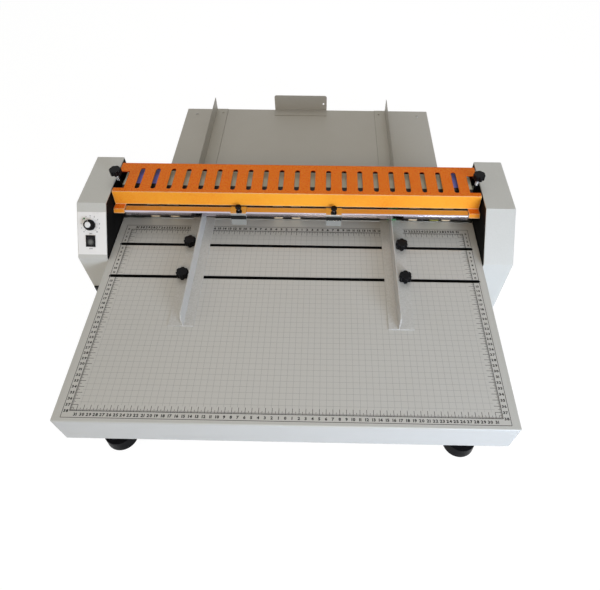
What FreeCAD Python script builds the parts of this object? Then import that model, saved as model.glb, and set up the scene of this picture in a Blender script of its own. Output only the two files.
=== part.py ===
import FreeCAD, Part
import math
import os
import re

import Sketcher

# Desktop paper creasing machine, in millimetres.
# The pieces are drawn in the table's frame: X to the right, Y rearward from the zero line of the
# side scales, Z up from the table's top face. Each sub-part's Placement then moves it into the part's
# own frame, whose origin is the centre of the footprint at desk level.

sizes = {
    # overall
    "table_height": 140,        # desk to table top
    "front_reach": 398,         # zero line to the table's front face
    "rear_reach": 596.5,        # zero line to the back of the rear stop
    "plate_face": 345,          # middle to the inner face of each side plate
    # feed table
    "table_gap": 1.5,           # table edge to side plate
    "table_sheet": 2,
    "table_joint": 2.5,         # between table and die
    "skirt_drop": 59.5,
    "skirt_end": -90,           # where the side skirts stop, ahead of the housings
    "slot_margin": 11,          # slot end to table edge
    "slot_play": 0.5,           # clamp stud in its slot
    "rear_slot_y": -39.5,
    "front_slot_y": -118.5,
    "channel_width": 24,
    "channel_drop": 15,
    "channel_sheet": 1.5,
    "leg_inset": 56.5,          # leg's middle to table edge
    "leg_setback": 37,          # leg's middle to the table's front face
    "leg_width": 30,
    "leg_wall": 2,
    "leg_flange": 12,           # how far the flange stands out past the tube
    "flange_sheet": 3,
    "front_foot_height": 25,
    "front_foot_top": 25,
    "front_foot_bottom": 26.5,
    # frame between the housings
    "plate_thickness": 5,
    "side_gap": 0.1,            # end clearance of what stands between the side plates
    "base_lift": 6,             # base plate above the housings' lower edge
    "base_sheet": 3,
    "base_front": -70,
    "base_back_gap": 1,         # base plate to rear panel
    "tie_radius": 7,
    "bracket_thickness": 7,
    "bracket_height": 25,
    # housings
    "housing_lap": 0.5,         # housing edge past the side plate's inner face
    "housing_width": 54,
    "housing_wall": 2,
    "housing_top": 73,
    "housing_back_gap": 5.5,    # behind the rear panel
    "housing_top_front": -8,
    "panel_length": 100.5,
    "panel_angle": 43,
    "plate_inset": 2.3,         # side plate outline inside the housing outline
    "base_foot_height": 10,
    "base_foot_radius": 12,
    # control panel; distances down the slope run from its top edge
    "label_start": 16.5,
    "label_end": 93.5,
    "label_sheet": 0.8,
    "dial_inset": 28.9,         # dial's middle to the housing's inner edge
    "dial_s": 40.3,
    "dial_radius": 9.9,
    "dial_height": 10,
    "dial_lift": 1.3,
    "spindle_radius": 3,
    "neck_radius": 4.8,         # potentiometer's threaded neck
    "neck_hole": 5,
    "switch_inset": 28.8,
    "switch_s": 69.3,
    "switch_width": 17,
    "switch_length": 21,
    "switch_rim": 1.2,          # bezel past the case
    "switch_wall": 0.8,
    "rocker_play": 0.5,
    "pivot_out": 0.2,           # rocker's pivot above the panel
    "trunnion_radius": 1.2,
    "inlet_inset": 17.5,        # inlet's middle to the housing's outer face
    "inlet_rise": 40,           # inlet's middle above the housing's lower edge
    "inlet_width": 30,
    "board_gap": 2,             # board to the gear's teeth
    "board_length": 64,
    "inlet_height": 28,
    # die and pressure bar
    "die_front": 33.5,
    "crease_y": 62,
    "shaft_room": 7,            # die above the shaft
    "matrix_width": 16,
    "matrix_height": 5,
    "groove_half": 1.4,
    "groove_depth": 1.8,
    "bar_front": 0,             # on the zero line of the table's scales
    "bar_width": 18.5,
    "bar_bottom": 36.7,
    "bar_height": 9.5,
    "bar_bend": 2.4,            # rounding of its front edge
    "bar_gap": 0.8,             # bar's end to the cover's tab
    "bar_arm_setback": 7.5,     # its arms run on under the tabs
    "rail_depth": 12.3,         # foam blocks, front to back
    "rail_thickness": 2,
    "rail_bottom": 8,
    "rail_top": 40,
    "pad_front": 31.7,
    "pad_bottom": 2,
    "pad_top": 38,
    "pad_width": 19,
    # blade beam
    "beam_inset": 20,           # beam's end to side plate
    "beam_gap": 2,              # pad rail to beam
    "beam_width": 52,
    "beam_bottom": 20,
    "beam_height": 42,
    "tenon_rise": 4,
    "tenon_height": 20,
    "tenon_front_inset": 2,
    "tenon_back_inset": 10,
    "tenon_overhang": 4,        # tenon past the draw bar
    "slide_fit": 0.05,
    "window_room": 1,           # side plate's window past the tenon's travel
    "beam_stroke": 7,
    "blade_half": 1.5,
    "edge_half": 0.6,
    "edge_height": 2,
    "blade_tip": 6,             # height of the crease edge above the table
    "ejector_bottom": 9,
    "ejector_width": 6,
    "ejector_gap": 1,
    "end_plate_height": 3.5,
    "left_end_plate": 54,
    "right_end_plate": 35,
    "end_plate_inset": 9,
    "draw_bar_gap": 3,          # bush flange to draw bar
    "draw_bar_thickness": 12,
    "draw_bar_half": 26,
    "draw_bar_foot": 12,
    # drive
    "shaft_y": 75,
    "shaft_rise": 64,           # shaft above the base plate
    "shaft_radius": 8,
    "shaft_overhang": 1,
    "shaft_fit": 0.05,
    "bush_wall": 2.95,
    "bush_rim": 4,
    "bush_rim_thickness": 3,
    "eccentric_wall": 6,        # eccentric's radius over the shaft's
    "eccentric_inset": 0.5,
    "yoke_play": 0.95,
    "yoke_side_play": 0.6,
    "gear_module": 2,
    "gear_teeth": 42,
    "pinion_teeth": 14,
    "gear_backlash": 0.3,
    "gear_gap": 6,
    "gear_width": 10,
    "mesh_angle": 40,           # line of centres below the horizontal
    "motor_radius": 27,
    "motor_length": 125,
    "gearbox_length": 45,
    "motor_shaft_radius": 5,
    "boss_wall": 6.5,
    "boss_play": 0.5,
    "cam_gap": 7,
    "cam_radius": 20,
    "cam_width": 6,
    # cover
    "cover_gap": 3.5,           # cover's end to side plate
    "cover_sheet": 1.5,
    "cover_lift": 1.5,          # cover's top above the housings
    "cover_back": 106.5,
    "cover_front": 22.5,
    "cover_slant": 4.5,         # front face's lean
    "cover_drop": 26,           # front face's height
    "vent_count": 21,
    "vent_margin": 24,          # outermost vent's middle to the end notch
    "vent_width": 9,
    "vent_front": 32,
    "vent_back": 91,
    "notch_length": 19.5,
    "notch_front": 33,
    "notch_back": 80.5,
    "tab_width": 20.2,
    "tab_reach": 14,
    "tab_lean": 5,
    "tab_drop": 6.5,
    "hinge_inset": 5.5,
    "hinge_drop": 6.5,
    "hinge_radius": 3,
    "pin_fit": 0.05,
    # depth knobs
    "depth_inset": 7,           # knob's axis to side plate
    "depth_y": 58,
    "depth_knob_lift": 12,      # knob's underside above the housings
    "depth_knob_radius": 11,
    "depth_knob_height": 12.5,
    # front guides
    "guide_x": 179.5,           # the fin's middle
    "guide_overlap": 1,         # guide's base over the die
    "guide_front": -226,
    "guide_outer": 25.5,
    "guide_inner": 17.5,
    "guide_sheet": 1.5,
    "guide_lift": 0.2,
    "fin_height": 30,
    "fin_setback": 4.5,
    "fin_corner": 10,
    "clamp_offset": 18.5,       # clamp's axis to the fin
    "clamp_radius": 11,
    "clamp_height": 14,
    "clamp_stud": 3,
    "stud_play": 0.2,
    "thread_fit": 0.05,
    "nut_width": 16,
    "nut_height": 5,
    "nut_gap": 1,               # nut's top under the table sheet
    # hold-down clamps
    "left_hold_x": -107.5,
    "right_hold_x": 70.5,
    "hold_width": 29,
    "hold_play": 0.1,
    "hold_sheet": 2,
    "hold_overhang": 5,         # ahead of the bar
    "hold_setback": 3.5,        # its back edge ahead of the bar's
    "hold_hook": 4,             # lip under the bar
    "hold_foot": 21,            # lower edge of its front plate
    "thumb_setback": 7.5,       # thumb screw behind the bar's front
    "thumb_lift": 3,
    "thumb_radius": 5.7,
    "thumb_height": 5.2,
    "thumb_stud": 2,
    # output side
    "rear_cover_gap": 3.7,
    "rear_cover_bottom": 12,
    "rear_panel_gap": 19,       # behind the die
    "slope_drop": 9,
    "panel_sheet": 1.5,
    "tray_inset": 8.5,          # tray's edge to side plate
    "tray_rise": 30,            # tray above the desk
    "tray_sheet": 2,
    "tray_flange": 20,
    "tray_foot_inset": 29,
    "tray_foot_setback": 26,
    "tray_foot_radius": 12,
    "tray_guide_start": 31,
    "tray_guide_height": 35,
    "tray_guide_flange": 32,
    "tray_guide_setback": 1,
    "left_tray_guide_x": -254.5,
    "right_tray_guide_x": 220.5,
    "tray_guide_hole": 2.5,
    "tray_guide_hole_inset": 20,    # hole to the upright
    "stop_left": -90,
    "stop_right": 55,
    "stop_height": 43,
    "stop_flange": 30,
    "screw_head": 4,
    "screw_shank": 2,
    "screw_head_height": 2.2,
    "screw_depth": 6,
}

# Places that follow from the sizes above.
places = {
    "desk": "-table_height",
    "housing_bottom": "desk+base_foot_height",
    "base_top": "housing_bottom+base_lift",
    "base_under": "base_top-base_sheet",
    "table_half": "plate_face-table_gap",
    "table_back": "die_front-table_joint",
    "table_under": "-table_sheet",
    "slot_half": "table_half-slot_margin",
    "slot_width": "2*(clamp_stud+slot_play)",
    "leg_x": "table_half-leg_inset",
    "leg_y": "-front_reach+leg_setback",
    "plate_outer": "plate_face+plate_thickness",
    "plate_end": "plate_face-side_gap",
    "housing_face": "plate_face-housing_lap",
    "housing_outer": "housing_face+housing_width",
    "panel_low_y": "housing_top_front-panel_length*cos(panel_angle)",
    "panel_low_z": "housing_top-panel_length*sin(panel_angle)",
    "dial_x": "-housing_face-dial_inset",
    "switch_x": "-housing_face-switch_inset",
    "inlet_x": "inlet_inset-housing_outer",
    "inlet_z": "housing_bottom+inlet_rise",
    "shaft_z": "base_top+shaft_rise",
    "die_back": "beam_back",
    "die_drop": "-shaft_z-shaft_radius-shaft_room",
    "bar_back": "bar_front+bar_width",
    "bar_top": "bar_bottom+bar_height",
    "rail_front": "pad_front+rail_depth",
    "rail_back": "rail_front+rail_thickness",
    "beam_half": "plate_face-beam_inset",
    "beam_front": "rail_back+beam_gap",
    "beam_back": "beam_front+beam_width",
    "beam_top": "beam_bottom+beam_height",
    "tenon_front": "beam_front+tenon_front_inset",
    "tenon_back": "beam_back-tenon_back_inset",
    "tenon_bottom": "beam_bottom+tenon_rise",
    "tenon_top": "tenon_bottom+tenon_height",
    "bush_outer": "plate_outer+bush_rim_thickness",
    "draw_bar_face": "bush_outer+draw_bar_gap",
    "draw_bar_outer": "draw_bar_face+draw_bar_thickness",
    "tenon_end": "draw_bar_outer+tenon_overhang",
    "bush_bore": "shaft_radius+shaft_fit",
    "bush_radius": "bush_bore+bush_wall",
    "eccentric_radius": "shaft_radius+eccentric_wall",
    "eccentric_z": "shaft_z+beam_stroke/2",
    "yoke_high": "eccentric_radius+yoke_play",
    "yoke_wide": "eccentric_radius+beam_stroke/2+yoke_side_play",
    "gear_start": "draw_bar_outer+gear_gap",
    "gear_end": "gear_start+gear_width",
    "shaft_end": "gear_end+shaft_overhang",
    "cam_start": "draw_bar_outer+cam_gap",
    "board_back": "shaft_y-gear_module*(gear_teeth+2)/2-board_gap",
    "centre_distance": "gear_module*(gear_teeth+pinion_teeth)/2",
    "pinion_y": "shaft_y-centre_distance*cos(mesh_angle)",
    "pinion_z": "shaft_z-centre_distance*sin(mesh_angle)",
    "cover_half": "plate_face-cover_gap",
    "cover_top": "housing_top+cover_lift",
    "cover_lip_y": "cover_front-cover_slant",
    "cover_lip_z": "cover_top-cover_drop",
    "tab_front": "cover_lip_y-tab_reach",
    "notch_inside": "cover_half-notch_length",
    "tab_inside": "cover_half-tab_width",
    "bar_half": "tab_inside-bar_gap",
    "vent_first": "notch_inside-vent_margin",
    "hinge_y": "cover_back-hinge_inset",
    "hinge_z": "cover_top-hinge_drop",
    "depth_x": "plate_face-depth_inset",
    "depth_knob_bottom": "housing_top+depth_knob_lift",
    "guide_back": "die_front+guide_overlap",
    "guide_top": "guide_lift+guide_sheet",
    "fin_back": "guide_back-fin_setback",
    "clamp_x": "guide_x+clamp_offset",
    "nut_top": "table_under-nut_gap",
    "nut_bottom": "nut_top-nut_height",
    "hold_under": "bar_top+hold_play",
    "thumb_y": "bar_front+thumb_setback",
    "rear_cover_y": "cover_back+rear_cover_gap",
    "rear_panel_y": "die_back+rear_panel_gap",
    "rear_panel_back": "rear_panel_y+panel_sheet",
    "base_back": "rear_panel_y-base_back_gap",
    "housing_back": "rear_panel_back+housing_back_gap",
    "tray_half": "plate_face-tray_inset",
    "tray_top": "desk+tray_rise",
    "tray_under": "tray_top-tray_sheet",
    "tray_back": "rear_reach-panel_sheet",
    "tray_foot_x": "tray_half-tray_foot_inset",
    "tray_foot_y": "tray_back-tray_foot_setback",
    "tray_guide_front": "rear_panel_y+tray_guide_start",
    "tray_guide_back": "tray_back-tray_guide_setback",
    "tray_low": "tray_top+guide_lift",
    "origin_y": "(front_reach-rear_reach)/2",
}

# Foam blocks along their rail, tie rods (Y, Z) and housing screws (Y, Z).
PAD_PLACES = ("65-plate_face", "104-plate_face", "-37.5", "-2.7", "plate_face-160", "plate_face-118.5",
              "plate_face-77", "plate_face-54")
TIE_PLACES = (("-60", "-40"), ("-45", "base_top+16"), ("rear_panel_y-15", "base_top+14"))
HOUSING_SCREWS = (("housing_back-16", "housing_top-15"), ("housing_back-16", "housing_bottom+14"),
                  ("panel_low_y+15.5", "housing_bottom+14"), ("housing_top_front+6", "housing_top-15"))
SIDES = (("left", -1), ("right", 1))

os.makedirs("parts", exist_ok=True)
doc = FreeCAD.newDocument("creasing_machine")
sheet = doc.addObject("Spreadsheet::Sheet", "Dims")
for row, (size_name, value) in enumerate(sizes.items(), 1):
    sheet.set(f"A{row}", str(value))
    sheet.setAlias(f"A{row}", size_name)
doc.recompute()
subparts = []


# ---------------------------------------------------------------- helpers

def bound(text):
    """An expression on the sheet's cells, from one that names sizes and places plainly."""
    def spelled(word):
        if word[0] in places:
            return f"({bound(places[word[0]])})"
        return f"Dims.{word[0]}" if word[0] in sizes else word[0]

    return re.sub(r"[a-z]\w*", spelled, str(text))


def number(text):
    """The present value of such an expression."""
    return float(sheet.evalExpression(bound(text)))


def bind(item, **targets):
    """Bind properties, or parts of the Placement such as x, y, z and turn, to expressions."""
    paths = {"x": "Placement.Base.x", "y": "Placement.Base.y", "z": "Placement.Base.z",
             "turn": "Placement.Rotation.Angle"}
    for key, text in targets.items():
        item.setExpression(paths.get(key, key), bound(text))
    return item


def box(name, x, y, z):
    """A block between two corners, each coordinate given as (low, high)."""
    item = doc.addObject("Part::Box", name)
    bind(item, Length=f"({x[1]})-({x[0]})", Width=f"({y[1]})-({y[0]})", Height=f"({z[1]})-({z[0]})")
    return bind(item, x=x[0], y=y[0], z=z[0])


def rod(name, radius, axis, x, y, z, top_radius=None):
    """A round bar along one axis; that axis has (low, high) and the other two have the centre."""
    item = doc.addObject("Part::Cone" if top_radius else "Part::Cylinder", name)
    along = {"x": x, "y": y, "z": z}[axis]
    turns = {"x": FreeCAD.Rotation(FreeCAD.Vector(0, 1, 0), 90),
             "y": FreeCAD.Rotation(FreeCAD.Vector(1, 0, 0), -90), "z": FreeCAD.Rotation()}
    item.Placement.Rotation = turns[axis]
    if top_radius:
        bind(item, Radius1=radius, Radius2=top_radius)
    else:
        bind(item, Radius=radius)
    bind(item, Height=f"({along[1]})-({along[0]})")
    starts = {"x": x, "y": y, "z": z, axis: along[0]}
    return bind(item, **starts)


def fuse(name, *solids):
    item = doc.addObject("Part::MultiFuse", name)
    item.Shapes = list(solids)
    item.Refine = True
    return item


def group(name, *solids):
    """Separate solids kept together as one object."""
    item = doc.addObject("Part::Compound", name)
    item.Links = list(solids)
    return item


def cut(name, base, *tools):
    item = doc.addObject("Part::Cut", name)
    item.Base = base
    item.Tool = tools[0] if len(tools) == 1 else group(f"{name}_tools", *tools)
    return item


def rounded(name, base, radius, wanted):
    """Round the edges that pass the test, given each edge's bounding box."""
    doc.recompute()
    item = doc.addObject("Part::Fillet", name)
    item.Base = base
    picked = [index for index, edge in enumerate(base.Shape.Edges, 1) if wanted(edge.BoundBox)]
    item.Edges = [(index, radius, radius) for index in picked]
    return item


def new_sketch(body, name, plane, offset):
    """A sketch on one of the body's origin planes, moved along that plane's normal."""
    item = body.newObject("Sketcher::SketchObject", name)
    origin_plane = next(part for part in body.Origin.OriginFeatures if part.Role == plane)
    item.AttachmentSupport = [(origin_plane, "")]
    item.MapMode = "FlatFace"
    item.setExpression("AttachmentOffset.Base.z", bound(offset))
    return item


def fix_point(sketch, geometry, point, place):
    """Hold a point of a sketch at two expressions, measured from the sketch's origin."""
    for kind, text in zip(("DistanceX", "DistanceY"), place):
        index = sketch.addConstraint(Sketcher.Constraint(kind, -1, 1, geometry, point, number(text)))
        sketch.setExpression(f"Constraints[{index}]", bound(text))


def polygon(sketch, points):
    """A closed ring of lines, every corner held at its own pair of expressions."""
    count = len(points)
    first = sketch.GeometryCount
    corners = [FreeCAD.Vector(number(x), number(y), 0) for x, y in points]
    for k in range(count):
        sketch.addGeometry(Part.LineSegment(corners[k], corners[(k + 1) % count]), False)
    for k in range(count):
        sketch.addConstraint(Sketcher.Constraint("Coincident", first + k, 2, first + (k + 1) % count, 1))
        fix_point(sketch, first + k, 1, points[k])


def circle(sketch, centre, radius):
    middle = FreeCAD.Vector(number(centre[0]), number(centre[1]), 0)
    ring = Part.Circle(middle, FreeCAD.Vector(0, 0, 1), number(radius))
    geometry = sketch.addGeometry(ring, False)
    fix_point(sketch, geometry, 3, centre)
    index = sketch.addConstraint(Sketcher.Constraint("Radius", geometry, number(radius)))
    sketch.setExpression(f"Constraints[{index}]", bound(radius))


def obround(sketch, low, high, radius):
    """A round-ended slot between the centres of its two ends, low then high, along X or along Y."""
    along_x = low[1] == high[1]
    start = 0 if along_x else math.pi / 2
    normal = FreeCAD.Vector(0, 0, 1)
    near_ring, far_ring = (Part.Circle(FreeCAD.Vector(number(x), number(y), 0), normal, number(radius))
                           for x, y in (low, high))
    quarter = math.pi / 2
    near_arc = sketch.addGeometry(Part.ArcOfCircle(near_ring, start + quarter, start + 3 * quarter), False)
    far_arc = sketch.addGeometry(Part.ArcOfCircle(far_ring, start - quarter, start + quarter), False)
    near = sketch.Geometry[near_arc]
    other = sketch.Geometry[far_arc]
    first = sketch.addGeometry(Part.LineSegment(near.EndPoint, other.StartPoint), False)
    second = sketch.addGeometry(Part.LineSegment(other.EndPoint, near.StartPoint), False)
    for joint in ((near_arc, 2, first, 1), (first, 2, far_arc, 1), (far_arc, 2, second, 1),
                  (second, 2, near_arc, 1)):
        sketch.addConstraint(Sketcher.Constraint("Tangent", *joint))
    fix_point(sketch, near_arc, 3, low)
    fix_point(sketch, far_arc, 3, high)
    index = sketch.addConstraint(Sketcher.Constraint("Radius", near_arc, number(radius)))
    sketch.setExpression(f"Constraints[{index}]", bound(radius))
    sketch.addConstraint(Sketcher.Constraint("Equal", near_arc, far_arc))


def new_body(name):
    return doc.addObject("PartDesign::Body", name)


def feature(body, kind, name, sketch, length):
    """A Pad or a Pocket of a sketch; a Pad goes along the normal, a Pocket against it."""
    item = body.newObject(f"PartDesign::{kind}", name)
    item.Profile = sketch
    bind(item, Length=length)
    return item


def prism(name, plane, points, low, high):
    """A straight bar whose section is a polygon on the XY, XZ or YZ plane."""
    body = new_body(name)
    offset = f"-({high})" if plane == "XZ" else low
    sketch = new_sketch(body, f"{name}_outline", f"{plane}_Plane", offset)
    polygon(sketch, points)
    feature(body, "Pad", f"{name}_pad", sketch, f"({high})-({low})")
    return body


def span(side, low, high):
    """A stretch of X on the right, or its mirror image on the left."""
    return (low, high) if side > 0 else (f"-({high})", f"-({low})")


def piece(label, *solids):
    """Register one sub-part, moved from the table's frame into the part's own."""
    single = len(solids) == 1 and solids[0].TypeId not in ("Part::Box", "Part::Cylinder", "Part::Cone")
    item = solids[0] if single else group(f"{label}_set", *solids)
    bind(item, y="origin_y", z="table_height")
    item.Label = label
    subparts.append(item)
    return item


BETWEEN = ("-plate_end", "plate_end")


def on_panel(s, out):
    """Y and Z of a point s down the control panel's slope and so far out from it."""
    return (f"housing_top_front-({s})*cos(panel_angle)-({out})*sin(panel_angle)",
            f"housing_top-({s})*sin(panel_angle)+({out})*cos(panel_angle)")


def panel_box(name, x, s, out):
    """A block square to the control panel."""
    corner = on_panel(s[1], out[0])
    item = doc.addObject("Part::Box", name)
    item.Placement.Rotation = FreeCAD.Rotation(FreeCAD.Vector(1, 0, 0), number("panel_angle"))
    bind(item, Length=f"({x[1]})-({x[0]})", Width=f"({s[1]})-({s[0]})", Height=f"({out[1]})-({out[0]})")
    return bind(item, x=x[0], y=corner[0], z=corner[1], turn="panel_angle")


def panel_rod(name, radius, x, s, out):
    """A round bar square to the control panel."""
    centre = on_panel(s, out[0])
    item = doc.addObject("Part::Cylinder", name)
    item.Placement.Rotation = FreeCAD.Rotation(FreeCAD.Vector(1, 0, 0), number("panel_angle"))
    bind(item, Radius=radius, Height=f"({out[1]})-({out[0]})")
    return bind(item, x=x, y=centre[0], z=centre[1], turn="panel_angle")


# The switch's cut-out: its X, and its place down the slope, just clear of the switch's case.
SWITCH_HOLE = (("switch_x-switch_width/2+switch_rim-0.2", "switch_x+switch_width/2-switch_rim+0.2"),
               ("switch_s-switch_length/2+switch_rim-0.2", "switch_s+switch_length/2-switch_rim+0.2"))


# ---------------------------------------------------------------- feed table

def feed_table():
    """Folded sheet with a skirt on three sides and two cross slots with round ends."""
    body = new_body("feed_table_sheet")
    top = new_sketch(body, "table_outline", "XY_Plane", "table_under")
    polygon(top, [("-table_half", "-front_reach"), ("table_half", "-front_reach"),
                  ("table_half", "table_back"), ("-table_half", "table_back")])
    feature(body, "Pad", "table_top", top, "table_sheet")
    skirt = new_sketch(body, "skirt_outline", "XY_Plane", "-skirt_drop")
    inner_front = "-front_reach+table_sheet"
    polygon(skirt, [("-table_half", "-front_reach"), ("table_half", "-front_reach"),
                    ("table_half", "skirt_end"), ("table_half-table_sheet", "skirt_end"),
                    ("table_half-table_sheet", inner_front), ("-table_half+table_sheet", inner_front),
                    ("-table_half+table_sheet", "skirt_end"), ("-table_half", "skirt_end")])
    feature(body, "Pad", "table_skirt", skirt, "skirt_drop")
    slots = new_sketch(body, "slot_outline", "XY_Plane", "table_sheet")
    for place in ("rear_slot_y", "front_slot_y"):
        reach = "slot_half-slot_width/2"
        obround(slots, (f"-({reach})", place), (reach, place), "slot_width/2")
    feature(body, "Pocket", "table_slots", slots, "table_sheet*3")
    front = -number("front_reach")
    bends = rounded("feed_table_bends", body, number("table_sheet") * 1.5,
                    lambda b: b.YMax < front + 0.1 and (b.ZMin > -0.1 or b.ZLength > 9) and b.YLength < 0.1)
    piece("feed_table", bends)

    channels = []
    for place in ("rear_slot_y", "front_slot_y"):
        half = "channel_width/2"
        low = "table_under-channel_drop"
        inner = f"{half}-channel_sheet"
        outline = [(f"{place}-{half}", "table_under"), (f"{place}-{half}", low), (f"{place}+{half}", low),
                   (f"{place}+{half}", "table_under"), (f"{place}+{inner}", "table_under"),
                   (f"{place}+{inner}", f"{low}+channel_sheet"),
                   (f"{place}-({inner})", f"{low}+channel_sheet"),
                   (f"{place}-({inner})", "table_under")]
        channels.append(prism(f"channel_{place}", "YZ", outline, "-slot_half-4", "slot_half+4"))
    piece("slot_channels", *channels)


def legs_and_feet():
    """Square front legs on rubber feet; small feet under the housings."""
    legs = []
    front_feet = []
    base_feet = []
    leg_bottom = "desk+front_foot_height"
    for side_name, side in SIDES:
        x = f"{side}*leg_x"
        half = "leg_width/2"
        y_span = (f"leg_y-{half}", f"leg_y+{half}")
        outer = box(f"{side_name}_leg_outer", (f"{x}-{half}", f"{x}+{half}"), y_span,
                    (leg_bottom, "table_under-flange_sheet"))
        hollow = box(f"{side_name}_leg_hollow", (f"{x}-{half}+leg_wall", f"{x}+{half}-leg_wall"),
                     (f"leg_y-{half}+leg_wall", f"leg_y+{half}-leg_wall"),
                     (f"{leg_bottom}+flange_sheet", "table_under-flange_sheet"))
        flange = box(f"{side_name}_leg_flange", (f"{x}-{half}-leg_flange", f"{x}+{half}+leg_flange"), y_span,
                     ("table_under-flange_sheet", "table_under"))
        legs.append(fuse(f"{side_name}_leg", cut(f"{side_name}_leg_tube", outer, hollow), flange))
        front_feet.append(rod(f"{side_name}_front_foot", "front_foot_bottom", "z", x, "leg_y",
                              ("desk", leg_bottom), top_radius="front_foot_top"))
        for end_name, place in (("front", "base_front+12"), ("back", "base_back-18")):
            base_feet.append(rod(f"{side_name}_{end_name}_base_foot", "base_foot_radius-2", "z",
                                 f"{side}*(housing_face+housing_width/2)", place,
                                 ("desk", "housing_bottom"), top_radius="base_foot_radius"))
    piece("front_legs", *legs)
    feet = group("front_foot_pair", *front_feet)
    lowest = number("desk")
    piece("front_feet", rounded("front_feet_edge", feet, 2.5, lambda b: b.ZMax < lowest + 0.1))
    piece("base_feet", *base_feet)


# ---------------------------------------------------------------- frame and housings

def profile(inset):
    """The housings' outline in Y and Z, moved inwards by an inset."""
    upper = f"({inset})*tan(panel_angle/2)"
    lower = f"({inset})*tan((90-panel_angle)/2)"
    return [(f"housing_back-({inset})", f"housing_bottom+({inset})"),
            (f"housing_back-({inset})", f"housing_top-({inset})"),
            (f"housing_top_front+{upper}", f"housing_top-({inset})"),
            (f"panel_low_y+({inset})", f"panel_low_z-{lower}"),
            (f"panel_low_y+({inset})", f"housing_bottom+({inset})")]


def side_frame():
    """The two black plates that carry everything between the housings, and what ties them."""
    for side_name, side in SIDES:
        ends = span(side, "plate_face", "plate_outer")
        wide = span(side, "plate_face-1", "plate_outer+1")
        plate = prism(f"{side_name}_plate", "YZ", profile("plate_inset"), *ends)
        holes = [box(f"{side_name}_window", wide, ("tenon_front-slide_fit", "tenon_back+slide_fit"),
                     ("tenon_bottom-beam_stroke-window_room", "tenon_top+window_room*2")),
                 rod(f"{side_name}_bush_hole", "bush_radius", "x", wide, "shaft_y", "shaft_z"),
                 rod(f"{side_name}_hinge_hole", "hinge_radius", "x", wide, "hinge_y", "hinge_z")]
        if side < 0:
            holes.append(rod("pinion_hole", "motor_shaft_radius+boss_wall+boss_play", "x", wide,
                             "pinion_y", "pinion_z"))
        piece(f"{side_name}_side_plate", cut(f"{side_name}_plate_drilled", plate, *holes))

    ties = []
    for index, (y, z) in enumerate(TIE_PLACES, 1):
        ties.append(rod(f"tie_{index}", "tie_radius", "x", BETWEEN, y, z))
    piece("tie_rods", *ties)
    piece("base_plate", box("base_sheet_block", BETWEEN, ("base_front", "base_back"),
                            ("base_under", "base_top")))
    brackets = []
    for side_name, side in SIDES:
        ends = span(side, "plate_end-bracket_thickness", "plate_end")
        brackets.append(box(f"{side_name}_bracket", ends, ("base_front", "table_back-2"),
                            ("table_under-bracket_height", "table_under")))
    piece("table_brackets", *brackets)
    pins = []
    for side_name, side in SIDES:
        ends = span(side, "cover_half-cover_sheet-2", "plate_outer")
        pins.append(rod(f"{side_name}_hinge_pin", "hinge_radius", "x", ends, "hinge_y", "hinge_z"))
    piece("hinge_pins", *pins)


def housings():
    """Sheet-metal boxes, open towards the side plates; the left one carries the controls."""
    screws = []
    for side_name, side in SIDES:
        solid = prism(f"{side_name}_housing_block", "YZ", profile("0"),
                      *span(side, "housing_face", "housing_outer"))
        outer_x = side * number("housing_outer")
        soft = rounded(f"{side_name}_housing_soft", solid, 2.4, lambda b: abs(b.XMin - outer_x) < 0.01
                       and abs(b.XMax - outer_x) < 0.01)
        inside = prism(f"{side_name}_housing_inside", "YZ", profile("housing_wall"),
                       *span(side, "housing_face-1", "housing_outer-housing_wall"))
        tools = [inside]
        for index, (y, z) in enumerate(HOUSING_SCREWS, 1):
            hole = f"{side_name}_screw_{index}"
            tools.append(rod(f"{hole}_hole", "screw_shank", "x",
                             span(side, "housing_outer-4", "housing_outer+1"), y, z))
            head = rod(f"{hole}_head", "screw_head", "x",
                       span(side, "housing_outer", "housing_outer+screw_head_height"), y, z)
            shank = rod(f"{hole}_shank", "screw_shank", "x",
                        span(side, "housing_outer-4", "housing_outer"), y, z)
            screws.append(fuse(hole, head, shank))
        if side < 0:
            tools.append(panel_rod("dial_hole", "neck_hole", "dial_x", "dial_s", ("-3", "2")))
            tools.append(panel_box("switch_hole", *SWITCH_HOLE, ("-3", "2")))
            tools.append(box("inlet_hole", ("inlet_x-inlet_width/2+3", "inlet_x+inlet_width/2-3"),
                             ("panel_low_y-1", "panel_low_y+4"),
                             ("inlet_z-inlet_height/2+3", "inlet_z+inlet_height/2-3")))
        piece(f"{side_name}_housing", cut(f"{side_name}_housing_shell", soft, *tools))
    for side_name, side in SIDES:
        x = f"{side}*tray_foot_x"
        head = rod(f"{side_name}_tray_screw_head", "screw_head", "z", x, "tray_foot_y",
                   ("tray_top", "tray_top+screw_head_height"))
        shank = rod(f"{side_name}_tray_screw_shank", "screw_shank", "z", x, "tray_foot_y",
                    ("tray_under-screw_depth", "tray_top"))
        screws.append(fuse(f"{side_name}_tray_screw", head, shank))
    piece("button_screws", *screws)


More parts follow.
